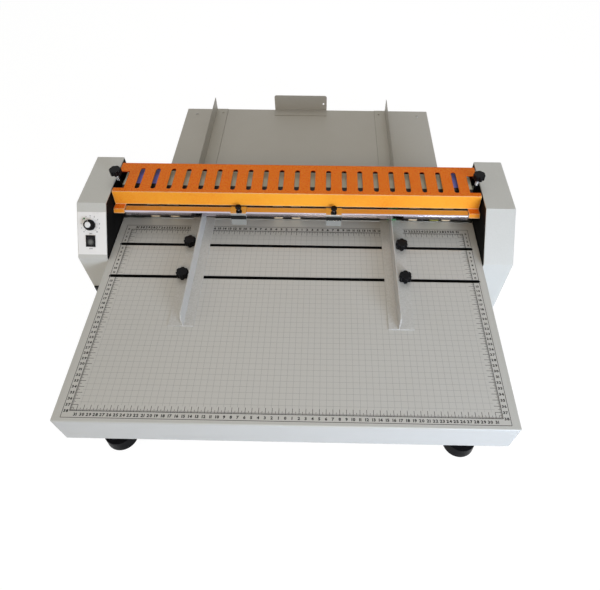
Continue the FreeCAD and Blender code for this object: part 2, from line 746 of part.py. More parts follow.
def controls():
    """Label plate, speed control, rocker switch, power inlet and board on the left."""
    label = panel_box("label_block", span(-1, "housing_face", "housing_face+housing_width-2"),
                      ("label_start", "label_end"), ("0", "label_sheet"))
    dial_hole = panel_rod("label_dial_hole", "neck_hole", "dial_x", "dial_s", ("-1", "2"))
    switch_hole = panel_box("label_switch_hole", *SWITCH_HOLE, ("-1", "2"))
    piece("control_label_plate", cut("label_drilled", label, dial_hole, switch_hole))

    can = panel_rod("potentiometer_can", "9", "dial_x", "dial_s", ("-18", "-housing_wall"))
    neck = panel_rod("potentiometer_neck", "neck_radius", "dial_x", "dial_s",
                     ("-housing_wall", "label_sheet+dial_lift-0.3"))
    bore = panel_rod("potentiometer_bore", "spindle_radius+pin_fit", "dial_x", "dial_s",
                     ("-12", "label_sheet+2"))
    piece("potentiometer", cut("potentiometer_bored", fuse("potentiometer_solid", can, neck), bore))
    gap = "label_sheet+dial_lift"
    skirt = panel_rod("dial_skirt", "dial_radius", "dial_x", "dial_s", (gap, f"{gap}+4"))
    knob = panel_rod("dial_knob", "dial_radius-2", "dial_x", "dial_s", (f"{gap}+4", f"{gap}+dial_height"))
    spindle = panel_rod("dial_spindle", "spindle_radius", "dial_x", "dial_s", ("-11", gap))
    dial = fuse("dial_solid", skirt, knob, spindle)
    flutes = []
    for index in range(12):
        angle = f"{index}*30"
        around = f"(dial_radius-1.2)*sin({angle})"
        centre_x = f"dial_x+(dial_radius-1.2)*cos({angle})"
        flutes.append(panel_rod(f"dial_flute_{index}", "1.1", centre_x, f"dial_s+{around}",
                                (f"{gap}+4", f"{gap}+dial_height+1")))
    piece("speed_dial", cut("dial_fluted", dial, *flutes))

    wide = "switch_width/2"
    tall = "switch_length/2"
    bezel = panel_box("switch_bezel", (f"switch_x-{wide}", f"switch_x+{wide}"),
                      (f"switch_s-{tall}", f"switch_s+{tall}"), ("label_sheet", "label_sheet+1.6"))
    case = panel_box("switch_case", (f"switch_x-{wide}+switch_rim", f"switch_x+{wide}-switch_rim"),
                     (f"switch_s-{tall}+switch_rim", f"switch_s+{tall}-switch_rim"), ("-18", "label_sheet"))
    wall = "switch_rim+switch_wall"
    well = panel_box("switch_well", (f"switch_x-{wide}+{wall}", f"switch_x+{wide}-({wall})"),
                     (f"switch_s-{tall}+{wall}", f"switch_s+{tall}-({wall})"), ("-6", "4"))
    piece("switch_body", cut("switch_hollow", fuse("switch_solid", bezel, case), well))
    reach = f"({tall}-({wall})-rocker_play)"
    rocker_points = [on_panel(f"switch_s-{reach}", "-3"), on_panel(f"switch_s-{reach}", "3.4"),
                     on_panel("switch_s", "2"), on_panel(f"switch_s+{reach}", "2.2"),
                     on_panel(f"switch_s+{reach}", "-3"), on_panel("switch_s", "-4")]
    across = f"{wide}-({wall})-rocker_play"
    rocker = prism("rocker_block", "YZ", rocker_points, f"switch_x-({across})", f"switch_x+({across})")
    pivot = on_panel("switch_s", "pivot_out")
    trunnion = rod("rocker_trunnion", "trunnion_radius", "x",
                   (f"switch_x-({across})-rocker_play/2", f"switch_x+({across})+rocker_play/2"), *pivot)
    piece("power_rocker", fuse("rocker_solid", rocker, trunnion))

    face = "panel_low_y"
    x_span = ("inlet_x-inlet_width/2", "inlet_x+inlet_width/2")
    z_span = ("inlet_z-inlet_height/2", "inlet_z+inlet_height/2")
    bezel = box("inlet_bezel", x_span, (f"{face}-2.5", face), z_span)
    case = box("inlet_case", ("inlet_x-inlet_width/2+3.2", "inlet_x+inlet_width/2-3.2"), (face, f"{face}+22"),
               ("inlet_z-inlet_height/2+3.2", "inlet_z+inlet_height/2-3.2"))
    recess = box("inlet_recess", ("inlet_x-inlet_width/2+5", "inlet_x+inlet_width/2-5"),
                 (f"{face}-3", f"{face}+15"), ("inlet_z-inlet_height/2+7", "inlet_z+inlet_height/2-7"))
    shell = cut("inlet_shell", fuse("inlet_solid", bezel, case), recess)
    blades = [box(f"inlet_blade_{index}", (f"inlet_x+{place}-1", f"inlet_x+{place}+1"),
                  (f"{face}+2", f"{face}+15.5"), ("inlet_z-2.5", "inlet_z+2.5"))
              for index, place in enumerate((-6, 0, 6), 1)]
    piece("power_inlet", fuse("inlet_with_blades", shell, *blades))

    board_x = span(-1, "plate_outer+5", "plate_outer+6.6")
    board = box("board_sheet", board_x, ("board_back-board_length", "board_back"), ("-32", "38"))
    posts = [rod(f"board_post_{index}", "2.5", "x", span(-1, "plate_outer", "plate_outer+5"), y, z)
             for index, (y, z) in enumerate((("board_back-board_length+5", -27), ("board_back-5", -27),
                                             ("board_back-board_length+5", 33), ("board_back-5", 33)), 1)]
    chips = [box("board_transformer", span(-1, "plate_outer+6.6", "plate_outer+26"),
                 ("board_back-30", "board_back-2"), ("-28", "0")),
             box("board_heat_sink", span(-1, "plate_outer+6.6", "plate_outer+18"),
                 ("board_back-58", "board_back-38"), ("-28", "-8")),
             rod("board_capacitor", "6", "x", span(-1, "plate_outer+6.6", "plate_outer+24"),
                 "board_back-48", "8"),
             box("board_relay", span(-1, "plate_outer+6.6", "plate_outer+20"),
                 ("board_back-24", "board_back-4"), ("10", "26"))]
    piece("control_board", fuse("board_assembled", board, *posts, *chips))


# ---------------------------------------------------------------- die, pressure bar and blade beam

def die_and_bar():
    """Fixed lower beam with its creasing matrix, the bar ahead of the cover, and the foam blocks' rail."""
    half = "matrix_width/2"
    die = box("die_block", BETWEEN, ("die_front", "die_back"), ("-(die_drop)", "0"))
    seat = box("matrix_seat", ("-beam_half", "beam_half"), (f"crease_y-{half}", f"crease_y+{half}"),
               ("-matrix_height", "1"))
    piece("die_beam", cut("die_slotted", die, seat))
    strip = box("matrix_block", ("-beam_half", "beam_half"), (f"crease_y-{half}", f"crease_y+{half}"),
                ("-matrix_height", "0"))
    groove = box("matrix_groove", ("-beam_half-1", "beam_half+1"),
                 ("crease_y-groove_half", "crease_y+groove_half"), ("-groove_depth", "1"))
    piece("crease_matrix", cut("matrix_grooved", strip, groove))
    bar = prism("bar_block", "YZ", [("bar_front", "bar_bottom"), ("bar_back", "bar_bottom"),
                                    ("bar_back", "bar_top"), ("bar_front+bar_bend", "bar_top"),
                                    ("bar_front+bar_bend*0.5", "bar_top-bar_bend*0.13"),
                                    ("bar_front+bar_bend*0.13", "bar_top-bar_bend*0.5"),
                                    ("bar_front", "bar_top-bar_bend")], "-bar_half", "bar_half")
    arms = box("bar_arms", BETWEEN, ("bar_front+bar_arm_setback", "bar_back"), ("bar_bottom", "bar_top"))
    rail = box("pad_rail", BETWEEN, ("rail_front", "rail_back"), ("rail_bottom", "rail_top"))
    piece("pressure_bar", fuse("bar_with_arms", bar, arms), rail)
    pads = [box(f"pad_{index}", (f"{place}-pad_width/2", f"{place}+pad_width/2"),
                ("pad_front", "rail_front"), ("pad_bottom", "pad_top"))
            for index, place in enumerate(PAD_PLACES, 1)]
    piece("sheet_pads", *pads)


def blade_beam():
    """Moving beam: tenons through the side plates' windows, draw bars down to the eccentrics."""
    main = box("beam_main", ("-beam_half", "beam_half"), ("beam_front", "beam_back"),
               ("beam_bottom", "beam_top"))
    tenon = box("beam_tenon", ("-tenon_end", "tenon_end"), ("tenon_front", "tenon_back"),
                ("tenon_bottom", "tenon_top"))
    bores = [rod(f"{side_name}_stud_bore", "clamp_stud+thread_fit", "z", f"{side}*depth_x", "depth_y",
                 ("tenon_bottom-1", "tenon_top+1")) for side_name, side in SIDES]
    piece("blade_beam", cut("beam_drilled", fuse("beam_solid", main, tenon), *bores))
    shoulder = "blade_tip+edge_height"
    edge = [("crease_y-blade_half", "beam_bottom"), ("crease_y-blade_half", shoulder),
            ("crease_y-edge_half", "blade_tip"), ("crease_y+edge_half", "blade_tip"),
            ("crease_y+blade_half", shoulder), ("crease_y+blade_half", "beam_bottom")]
    piece("crease_blade", prism("blade_strip", "YZ", edge, "-beam_half", "beam_half"))
    foams = []
    for name, low in (("front", "crease_y-blade_half-ejector_gap-ejector_width"),
                      ("back", "crease_y+blade_half+ejector_gap")):
        foams.append(box(f"{name}_foam", ("-beam_half+5", "beam_half-5"), (low, f"{low}+ejector_width"),
                         ("ejector_bottom", "beam_bottom")))
    piece("ejector_pads", *foams)
    plates = []
    reach = "beam_half-end_plate_inset"
    for name, ends in (("left", (f"-({reach})", f"-({reach})+left_end_plate")),
                       ("right", (f"{reach}-right_end_plate", reach))):
        plates.append(box(f"{name}_end_plate", ends, ("beam_front+0.5", "beam_back-0.5"),
                          ("beam_top", "beam_top+end_plate_height")))
    piece("beam_end_plates", *plates)

    bars = []
    for side_name, side in SIDES:
        ends = span(side, "draw_bar_face", "draw_bar_outer")
        bar = box(f"{side_name}_bar_block", ends, ("shaft_y-draw_bar_half", "shaft_y+draw_bar_half"),
                  ("eccentric_z-yoke_high-draw_bar_foot", "tenon_bottom"))
        window = box(f"{side_name}_yoke_window", span(side, "draw_bar_face-1", "draw_bar_outer+1"),
                     ("shaft_y-yoke_wide", "shaft_y+yoke_wide"),
                     ("eccentric_z-yoke_high", "eccentric_z+yoke_high"))
        bars.append(cut(f"{side_name}_draw_bar", bar, window))
    piece("draw_bars", *bars)


# ---------------------------------------------------------------- drive

def involute_gear(teeth, first_tooth, bore):
    """A spur gear blank with involute flanks in the plane X = 0, its first tooth at an angle from +Y."""
    module = number("gear_module")
    pitch = module * teeth / 2
    base = pitch * math.cos(math.radians(20))
    tip = pitch + 0.9 * module
    root = pitch - 1.2 * module
    flank_start = max(base, root)

    def roll(radius):
        turn = math.sqrt((radius / base) ** 2 - 1)
        return turn - math.atan(turn)

    half_pitch = (math.pi * module / 2 - number("gear_backlash")) / (2 * pitch)
    radii = [flank_start + (tip - flank_start) * step / 4 for step in range(5)]
    halves = [(radius, half_pitch + roll(pitch) - roll(radius)) for radius in radii]
    if root < flank_start:
        halves.insert(0, (root, halves[0][1]))
    flank = [(radius, -half) for radius, half in halves]
    flank += [(radius, half) for radius, half in reversed(halves)]
    points = []
    for tooth in range(teeth):
        middle = first_tooth + 2 * math.pi * tooth / teeth
        points += [FreeCAD.Vector(0, radius * math.cos(middle + turn), radius * math.sin(middle + turn))
                   for radius, turn in flank]
    width = number("gear_width")
    blank = Part.Face(Part.makePolygon(points + points[:1])).extrude(FreeCAD.Vector(width, 0, 0))
    hole = Part.makeCylinder(bore, width, FreeCAD.Vector(), FreeCAD.Vector(1, 0, 0))
    return blank.cut(hole)


def drive():
    """Shaft with two eccentrics, driven by a gear motor through a pinion and gear on the left."""
    piece("main_shaft", rod("shaft_bar", "shaft_radius", "x", ("-shaft_end", "shaft_end"), "shaft_y",
                            "shaft_z"))
    bushes = []
    discs = []
    for side_name, side in SIDES:
        sleeve = rod(f"{side_name}_bush_sleeve", "bush_radius", "x",
                     span(side, "plate_face", "plate_outer"), "shaft_y", "shaft_z")
        flange = rod(f"{side_name}_bush_flange", "bush_radius+bush_rim", "x",
                     span(side, "plate_outer", "bush_outer"), "shaft_y", "shaft_z")
        bore = rod(f"{side_name}_bush_bore", "bush_bore", "x",
                   span(side, "plate_face-1", "bush_outer+1"), "shaft_y", "shaft_z")
        bushes.append(cut(f"{side_name}_bush", fuse(f"{side_name}_bush_solid", sleeve, flange), bore))
        ends = span(side, "draw_bar_face+eccentric_inset", "draw_bar_outer-eccentric_inset")
        disc = rod(f"{side_name}_disc_blank", "eccentric_radius", "x", ends, "shaft_y", "eccentric_z")
        hole = rod(f"{side_name}_disc_bore", "shaft_radius", "x",
                   span(side, "draw_bar_face", "draw_bar_outer"), "shaft_y", "shaft_z")
        discs.append(cut(f"{side_name}_eccentric", disc, hole))
    piece("shaft_bushes", *bushes)
    piece("eccentrics", *discs)

    mesh = math.radians(number("mesh_angle"))
    gear = doc.addObject("Part::Feature", "drive_gear_teeth")
    gear.Shape = involute_gear(int(number("gear_teeth")), math.pi + mesh, number("shaft_radius"))
    bind(gear, x="-(gear_end)", y="shaft_y", z="shaft_z")
    piece("drive_gear", group("drive_gear_blank", gear))
    pinion = doc.addObject("Part::Feature", "pinion_teeth_ring")
    pinion.Shape = involute_gear(int(number("pinion_teeth")), mesh + math.pi / number("pinion_teeth"),
                                 number("motor_shaft_radius"))
    bind(pinion, x="-(gear_end)", y="pinion_y", z="pinion_z")
    spindle = rod("pinion_spindle", "motor_shaft_radius", "x",
                  ("-(gear_end)", "-plate_face+15"), "pinion_y", "pinion_z")
    piece("motor_pinion", fuse("pinion_solid", pinion, spindle))

    gearbox = rod("gearbox_case", "motor_radius", "x", ("-plate_face", "-plate_face+gearbox_length"),
                  "pinion_y", "pinion_z")
    boss = rod("gearbox_boss", "motor_shaft_radius+boss_wall", "x", ("-(plate_outer)", "-plate_face"),
               "pinion_y", "pinion_z")
    can = rod("motor_can", "motor_radius-3", "x",
              ("-plate_face+gearbox_length", "-plate_face+motor_length"), "pinion_y", "pinion_z")
    tail = rod("motor_tail", "8", "x", ("-plate_face+motor_length", "-plate_face+motor_length+6"),
               "pinion_y", "pinion_z")
    bore = rod("gearbox_bore", "motor_shaft_radius+shaft_fit", "x",
               ("-(plate_outer)-1", "-plate_face+16"), "pinion_y", "pinion_z")
    piece("gear_motor", cut("motor_bored", fuse("motor_solid", gearbox, boss, can, tail), bore))

    disc = rod("cam_disc", "cam_radius", "x", ("cam_start", "cam_start+cam_width"), "shaft_y", "shaft_z")
    notch = box("cam_notch", ("cam_start-1", "cam_start+cam_width+1"),
                ("shaft_y-cam_radius-1", "shaft_y-cam_radius+3"), ("shaft_z-4", "shaft_z+4"))
    bore = rod("cam_bore", "shaft_radius", "x", ("cam_start-1", "cam_start+cam_width+1"),
               "shaft_y", "shaft_z")
    piece("stop_cam", cut("cam_finished", disc, notch, bore))
    reach = "shaft_y-cam_radius"
    case = box("limit_case", ("cam_start-4", "cam_start+8"), (f"{reach}-26", f"{reach}-8"),
               ("shaft_z-16", "shaft_z+12"))
    arm = box("limit_arm", ("plate_outer", "cam_start-4"), (f"{reach}-26", f"{reach}-8"),
              ("shaft_z-16", "shaft_z-13"))
    foot = box("limit_foot", ("plate_outer", "plate_outer+3"),
               (f"{reach}-26", f"{reach}-8"), ("shaft_z-16", "shaft_z+12"))
    lever = box("limit_lever", ("cam_start", "cam_start+4"), (f"{reach}-8", f"{reach}-4"),
                ("shaft_z-10", "shaft_z+1"))
    roller = rod("limit_roller", "2.4", "x", ("cam_start", "cam_start+4"), f"{reach}-3", "shaft_z")
    piece("limit_switch", fuse("limit_assembled", case, arm, foot, lever, roller))


# ---------------------------------------------------------------- cover

def cover():
    """Bent sheet with a row of vents, open notches at the ends and grip tabs below its front."""
    body = new_body("cover_body")
    thick = "cover_sheet"
    section = new_sketch(body, "cover_section", "YZ_Plane", "-cover_half")
    polygon(section, [("cover_back", "cover_top"), ("cover_front", "cover_top"),
                      ("cover_lip_y", "cover_lip_z"), (f"cover_lip_y+{thick}", "cover_lip_z"),
                      (f"cover_front+{thick}", f"cover_top-{thick}"), ("cover_back", f"cover_top-{thick}")])
    feature(body, "Pad", "cover_bent", section, "2*cover_half")
    vent = new_sketch(body, "vent_outline", "XY_Plane", "cover_top+1")
    end = "vent_width/2"
    obround(vent, ("-(vent_first)", f"vent_front+{end}"), ("-(vent_first)", f"vent_back-{end}"), end)
    vent_cut = feature(body, "Pocket", "vent_cut", vent, "cover_sheet+2")
    doc.recompute()
    row = body.newObject("PartDesign::LinearPattern", "vent_row")
    row.Originals = [vent_cut]
    row.Direction = (vent, ["H_Axis"])
    bind(row, Length="2*(vent_first)", Occurrences="vent_count")
    body.Tip = row
    doc.recompute()
    notch = new_sketch(body, "notch_outline", "XY_Plane", "cover_top+1")
    for side in (-1, 1):
        inside, outside = f"{side}*notch_inside", f"{side}*(cover_half+1)"
        polygon(notch, [(inside, "notch_front"), (outside, "notch_front"), (outside, "notch_back"),
                        (inside, "notch_back")])
    feature(body, "Pocket", "notch_cut", notch, "cover_sheet+2")

    extras = []
    for side_name, side in SIDES:
        ends = span(side, "tab_inside", "cover_half")
        tab = [("cover_lip_y", "cover_lip_z"), ("tab_front", "cover_lip_z"),
               ("tab_front-tab_lean", "cover_lip_z-tab_drop"),
               (f"tab_front-tab_lean+{thick}", "cover_lip_z-tab_drop"),
               (f"tab_front+{thick}", f"cover_lip_z-{thick}"),
               (f"cover_lip_y+{thick}", f"cover_lip_z-{thick}"), (f"cover_lip_y+{thick}", "cover_lip_z")]
        extras.append(prism(f"{side_name}_tab", "YZ", tab, *ends))
        ear = [("cover_back", "cover_top"), ("notch_back+4", "cover_top"), ("hinge_y-8", "hinge_z-3"),
               ("hinge_y-4", "hinge_z-6"), ("hinge_y+4", "hinge_z-6"), ("cover_back", "hinge_z-2")]
        sheet_ends = span(side, "cover_half-cover_sheet", "cover_half")
        solid = prism(f"{side_name}_ear_blank", "YZ", ear, *sheet_ends)
        hole = rod(f"{side_name}_ear_hole", "hinge_radius+pin_fit", "x",
                   span(side, "cover_half-cover_sheet-1", "cover_half+1"), "hinge_y", "hinge_z")
        extras.append(cut(f"{side_name}_ear", solid, hole))
        cheek = [("cover_front", "cover_top"), ("notch_front", "cover_top"), ("notch_front", "cover_top-8"),
                 (f"cover_lip_y+{thick}+3", "cover_lip_z"), ("cover_lip_y", "cover_lip_z")]
        extras.append(prism(f"{side_name}_cheek", "YZ", cheek, *sheet_ends))
    piece("top_cover", fuse("cover_complete", body, *extras))
    piece("rear_cover", box("rear_cover_sheet", BETWEEN, ("rear_cover_y", "rear_cover_y+panel_sheet"),
                            ("rear_cover_bottom", "cover_top-4")))


# ---------------------------------------------------------------- knobs, guides and clamps

def star_knob(label, x, y, bottom, radius, height, neck, stud_radius, stud_end, lobes):
    """A lobed knob on a stud; the knob's axis is vertical at x, y and its underside at bottom."""
    body = new_body(f"{label}_body")
    disc = new_sketch(body, f"{label}_disc", "XY_Plane", neck)
    circle(disc, ("0", "0"), radius)
    head = feature(body, "Pad", f"{label}_head", disc, f"({height})-({neck})")
    doc.recompute()
    rims = [f"Edge{k}" for k, edge in enumerate(head.Shape.Edges, 1)
            if edge.BoundBox.ZLength < 0.01 and edge.BoundBox.ZMin > number(neck) + 1]
    soft = body.newObject("PartDesign::Fillet", f"{label}_soft")
    soft.Base = (head, rims)
    soft.Radius = 1.6
    flute = new_sketch(body, f"{label}_flute", "XY_Plane", f"{height}+1")
    width = 2.1 / lobes
    circle(flute, (f"({radius})*{1 + 0.42 * width:.4f}", "0"), f"({radius})*{width:.4f}")
    flute_cut = feature(body, "Pocket", f"{label}_flute_cut", flute, f"({height})+2")
    doc.recompute()
    ring = body.newObject("PartDesign::PolarPattern", f"{label}_flutes")
    ring.Originals = [flute_cut]
    ring.Axis = (disc, ["N_Axis"])
    ring.Angle = 360
    ring.Occurrences = lobes
    body.Tip = ring
    doc.recompute()
    hub = new_sketch(body, f"{label}_hub", "XY_Plane", "0")
    circle(hub, ("0", "0"), f"({radius})*0.55")
    feature(body, "Pad", f"{label}_neck", hub, f"({neck})+0.5")
    stud = new_sketch(body, f"{label}_stud_outline", "XY_Plane", f"({stud_end})-({bottom})")
    circle(stud, ("0", "0"), stud_radius)
    feature(body, "Pad", f"{label}_stud", stud, f"({bottom})-({stud_end})")
    bind(body, x=x, y=f"origin_y+({y})", z=f"table_height+({bottom})")
    body.Label = label
    subparts.append(body)


def depth_knobs():
    for side_name, side in SIDES:
        star_knob(f"{side_name}_depth_knob", f"{side}*depth_x", "depth_y", "depth_knob_bottom",
                  "depth_knob_radius", "depth_knob_height", "2.5", "clamp_stud", "tenon_bottom", 7)


def side_guides():
    """T-shaped paper guides, each held by two star knobs whose nuts run in the slot channels."""
    low = "guide_lift"
    top = "guide_top"
    for side_name, side in SIDES:
        base = box(f"{side_name}_guide_base", span(side, "guide_x-guide_inner", "guide_x+guide_outer"),
                   ("guide_front", "guide_back"), (low, top))
        fin = prism(f"{side_name}_guide_fin", "YZ",
                    [("guide_front", low), ("fin_back", low), ("fin_back", "fin_height"),
                     ("guide_front+fin_corner", "fin_height"),
                     ("guide_front+fin_corner*0.29", "fin_height-fin_corner*0.29"),
                     ("guide_front", "fin_height-fin_corner")],
                    *span(side, "guide_x-guide_sheet/2", "guide_x+guide_sheet/2"))
        holes = [rod(f"{side_name}_{place}_hole", "clamp_stud+stud_play", "z", f"{side}*clamp_x", place,
                     ("-1", "5")) for place in ("rear_slot_y", "front_slot_y")]
        piece(f"{side_name}_side_guide", cut(f"{side_name}_guide_drilled",
                                             fuse(f"{side_name}_guide_t", base, fin), *holes))
        nuts = []
        for slot_name, place in (("rear", "rear_slot_y"), ("front", "front_slot_y")):
            half = "nut_width/2"
            nut = box(f"{side_name}_{slot_name}_nut_block",
                      (f"{side}*clamp_x-{half}", f"{side}*clamp_x+{half}"),
                      (f"{place}-{half}", f"{place}+{half}"), ("nut_bottom", "nut_top"))
            hole = rod(f"{side_name}_{slot_name}_nut_hole", "clamp_stud+thread_fit", "z", f"{side}*clamp_x",
                       place, ("nut_bottom-1", "0"))
            nuts.append(cut(f"{side_name}_{slot_name}_nut", nut, hole))
            star_knob(f"{side_name}_{slot_name}_clamp_knob", f"{side}*clamp_x", place, f"{top}+0.1",
                      "clamp_radius", "clamp_height", "2", "clamp_stud",
                      "nut_bottom-1", 6)
        piece(f"{side_name}_guide_nuts", *nuts)


def hold_downs():
    """Brackets that hook round the bar, each with a front plate and a thumb screw."""
    top = "hold_under"
    web = "(bar_front-hold_play)"
    hook = "(bar_bottom-hold_play)"
    front = "(bar_front-hold_overhang)"
    back = "bar_back-hold_setback"
    section = [(back, top), (back, f"{top}+hold_sheet"), (f"{front}+0.8", f"{top}+hold_sheet"),
               (front, f"{top}+hold_sheet-0.8"), (front, top), (f"{web}-hold_sheet", top),
               (f"{web}-hold_sheet", f"{hook}-hold_sheet"), (front, f"{hook}-hold_sheet"),
               (front, "hold_foot"), (f"{front}+hold_sheet", "hold_foot"),
               (f"{front}+hold_sheet", f"{hook}-2*hold_sheet"),
               (web, f"{hook}-2*hold_sheet"), (web, f"{hook}-hold_sheet"),
               ("bar_front+hold_hook", f"{hook}-hold_sheet"), ("bar_front+hold_hook", hook), (web, hook),
               (web, top)]
    for side_name, _side in SIDES:
        x = f"{side_name}_hold_x"
        bracket = prism(f"{side_name}_hold_bracket", "YZ", section, f"{x}-hold_width/2", f"{x}+hold_width/2")
        hole = rod(f"{side_name}_hold_hole", "thumb_stud+thread_fit", "z", x, "thumb_y",
                   (top, f"{top}+hold_sheet+1"))
        piece(f"{side_name}_hold_down", cut(f"{side_name}_hold_tapped", bracket, hole))
        star_knob(f"{side_name}_thumb_screw", x, "thumb_y", f"{top}+hold_sheet+thumb_lift", "thumb_radius",
                  "thumb_height", "0.6", "thumb_stud", "bar_top+0.05", 10)


# ---------------------------------------------------------------- output side

def output_side():
    """Rear panel with the exit slope, the tray and what stands on it."""
    thick = "panel_sheet"
    slope = [("die_back+1", "-1"), ("rear_panel_y", "-1-slope_drop"), ("rear_panel_y", "base_under"),
             ("rear_panel_back", "base_under"), ("rear_panel_back", "-slope_drop"),
             ("die_back+1", f"-1+{thick}*0.6")]
    piece("rear_panel", prism("rear_panel_sheet", "YZ", slope, *BETWEEN))
    flange_y = "rear_panel_back"
    tray = fuse("tray_folded",
                box("tray_floor", ("-tray_half", "tray_half"), (flange_y, "tray_back"),
                    ("tray_under", "tray_top")),
                box("tray_front_flange", ("-tray_half", "tray_half"), (flange_y, f"{flange_y}+tray_sheet"),
                    ("tray_top", "tray_top+tray_flange")))
    feet = []
    holes = []
    for side_name, side in SIDES:
        x = f"{side}*tray_foot_x"
        foot = rod(f"{side_name}_tray_foot_block", "tray_foot_radius-2", "z", x, "tray_foot_y",
                   ("desk", "tray_under"), top_radius="tray_foot_radius")
        tap = rod(f"{side_name}_tray_foot_tap", "screw_shank", "z", x, "tray_foot_y",
                  ("tray_under-screw_depth", "tray_top"))
        feet.append(cut(f"{side_name}_tray_foot", foot, tap))
        holes.append(rod(f"{side_name}_tray_hole", "screw_shank", "z", x, "tray_foot_y",
                         ("tray_under-1", "tray_top+1")))
    piece("output_tray", cut("tray_drilled", tray, *holes))
    piece("tray_feet", *feet)

    low = "tray_low"
    for side_name, side in SIDES:
        x = f"{side_name}_tray_guide_x"
        inner = f"{x}-{side}*tray_guide_flange"
        face = f"{x}-{side}*{thick}"
        section = [(x, low), (inner, low), (inner, f"{low}+{thick}"), (face, f"{low}+{thick}"),
                   (face, f"{low}+tray_guide_height"), (x, f"{low}+tray_guide_height")]
        angle = prism(f"{side_name}_tray_guide_angle", "XZ", section, "tray_guide_front", "tray_guide_back")
        hole = rod(f"{side_name}_tray_guide_hole", "tray_guide_hole", "z",
                   f"{x}-{side}*tray_guide_hole_inset", "tray_guide_back-20", (f"{low}-1", f"{low}+4"))
        piece(f"{side_name}_tray_guide", cut(f"{side_name}_tray_guide_drilled", angle, hole))

    back = "rear_reach"
    upright = box("stop_upright", ("stop_left", "stop_right"), (f"{back}-{thick}", back),
                  (low, f"{low}+stop_height"))
    foot = box("stop_foot", ("stop_left", "stop_right"), (f"{back}-stop_flange", back),
               (low, f"{low}+{thick}"))
    angle = fuse("stop_angle", upright, foot)
    rounded_top = rounded("stop_rounded", angle, 6, lambda b: b.ZMin > number("tray_top") + 30
                          and b.YLength > 1 and b.XLength < 0.1)
    hole = rod("stop_hole", "tray_guide_hole", "y", "stop_right-9", (f"{back}-{thick}-1", f"{back}+1"),
               f"{low}+19")
    piece("rear_stop", cut("stop_drilled", rounded_top, hole))


feed_table()
legs_and_feet()
side_frame()
housings()
controls()
die_and_bar()
blade_beam()
drive()
cover()
depth_knobs()
side_guides()
hold_downs()
output_side()

doc.recompute()
faults = [item.Name for item in doc.Objects if {"Invalid", "Error"} & set(item.State)]
for item in subparts:
    shape = item.Shape
    if shape.isNull() or not shape.isValid() or not shape.Solids:
        faults.append(item.Label)
if faults:
    raise SystemExit(f"failed objects: {faults}")
if len({item.Label for item in subparts}) != len(subparts):
    raise SystemExit("two sub-parts share a label")
for item in subparts:
    item.Shape.exportStep(f"parts/{item.Label}.step")
print(len(subparts), "sub-parts")
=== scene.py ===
import math

import bmesh
import bpy
import numpy as np
from mathutils import Matrix, Vector


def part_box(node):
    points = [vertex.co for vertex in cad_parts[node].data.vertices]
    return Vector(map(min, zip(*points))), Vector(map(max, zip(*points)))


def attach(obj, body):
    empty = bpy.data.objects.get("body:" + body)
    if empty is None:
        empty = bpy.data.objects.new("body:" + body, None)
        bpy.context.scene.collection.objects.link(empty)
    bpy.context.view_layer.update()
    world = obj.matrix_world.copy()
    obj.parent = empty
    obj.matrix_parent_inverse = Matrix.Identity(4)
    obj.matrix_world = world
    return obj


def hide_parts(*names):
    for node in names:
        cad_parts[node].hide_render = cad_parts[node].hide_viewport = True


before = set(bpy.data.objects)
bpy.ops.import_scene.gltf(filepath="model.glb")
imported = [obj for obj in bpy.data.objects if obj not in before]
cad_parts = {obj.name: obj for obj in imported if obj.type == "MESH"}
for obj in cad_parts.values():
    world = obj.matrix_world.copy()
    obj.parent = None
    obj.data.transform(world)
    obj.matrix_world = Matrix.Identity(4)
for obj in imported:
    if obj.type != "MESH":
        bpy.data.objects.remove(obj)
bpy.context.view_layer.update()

MM = 0.001
ORIGIN_Y = -99.25       # zero line of the table's side scales, in the part's own frame, mm
TABLE_Z = 140.0         # table top above the desk, mm
SLOTS = ((-121.9, -115.1), (-42.9, -36.1))      # depths of the table's two cross slots, mm
WHITE = (1.0, 1.0, 1.0, 1.0)


def own_point(x, y, z):
    """A point in mm from the table's zero line and top, as the part's own frame has it, in metres."""
    return Vector((x, y + ORIGIN_Y, z + TABLE_Z)) * MM


def own_depth(y):
    """A depth in mm behind the table's zero line, as the part's own frame has it, in metres."""
    return (y + ORIGIN_Y) * MM


# ---------------------------------------------------------------- camera and stage

CAMERA_PLACE = (0.05099, -0.79349, 0.82828)
CAMERA_TURN = (0.652473, -0.001944, 0.019724)
CAMERA_LENS = 30.0555
CAMERA_SHIFT = (-0.027846, 0.010182)
CAMERA_NEAREST = 0.01

camera_data = bpy.data.cameras.new("camera")
camera_data.lens = CAMERA_LENS
camera_data.shift_x, camera_data.shift_y = CAMERA_SHIFT
camera_data.clip_start = CAMERA_NEAREST
camera = bpy.data.objects.new("camera", camera_data)
camera.location = CAMERA_PLACE
camera.rotation_euler = CAMERA_TURN
bpy.context.scene.collection.objects.link(camera)
bpy.context.scene.camera = camera
bpy.context.scene.view_settings.view_transform = "Standard"


def area_light(name, place, aim, size, power, color, spread=180, mirrored=True):
    """A rectangular lamp of a power in watts and a spread in degrees; mirrored lamps show in gloss."""
    data = bpy.data.lights.new(name, "AREA")
    data.spread = math.radians(spread)
    data.shape = "RECTANGLE"
    data.size, data.size_y = size
    data.energy = power
    data.color = color
    light = bpy.data.objects.new(name, data)
    light.location = place
    light.visible_glossy = mirrored
    light.rotation_euler = (Vector(aim) - Vector(place)).to_track_quat("-Z", "Y").to_euler()
    bpy.context.scene.collection.objects.link(light)


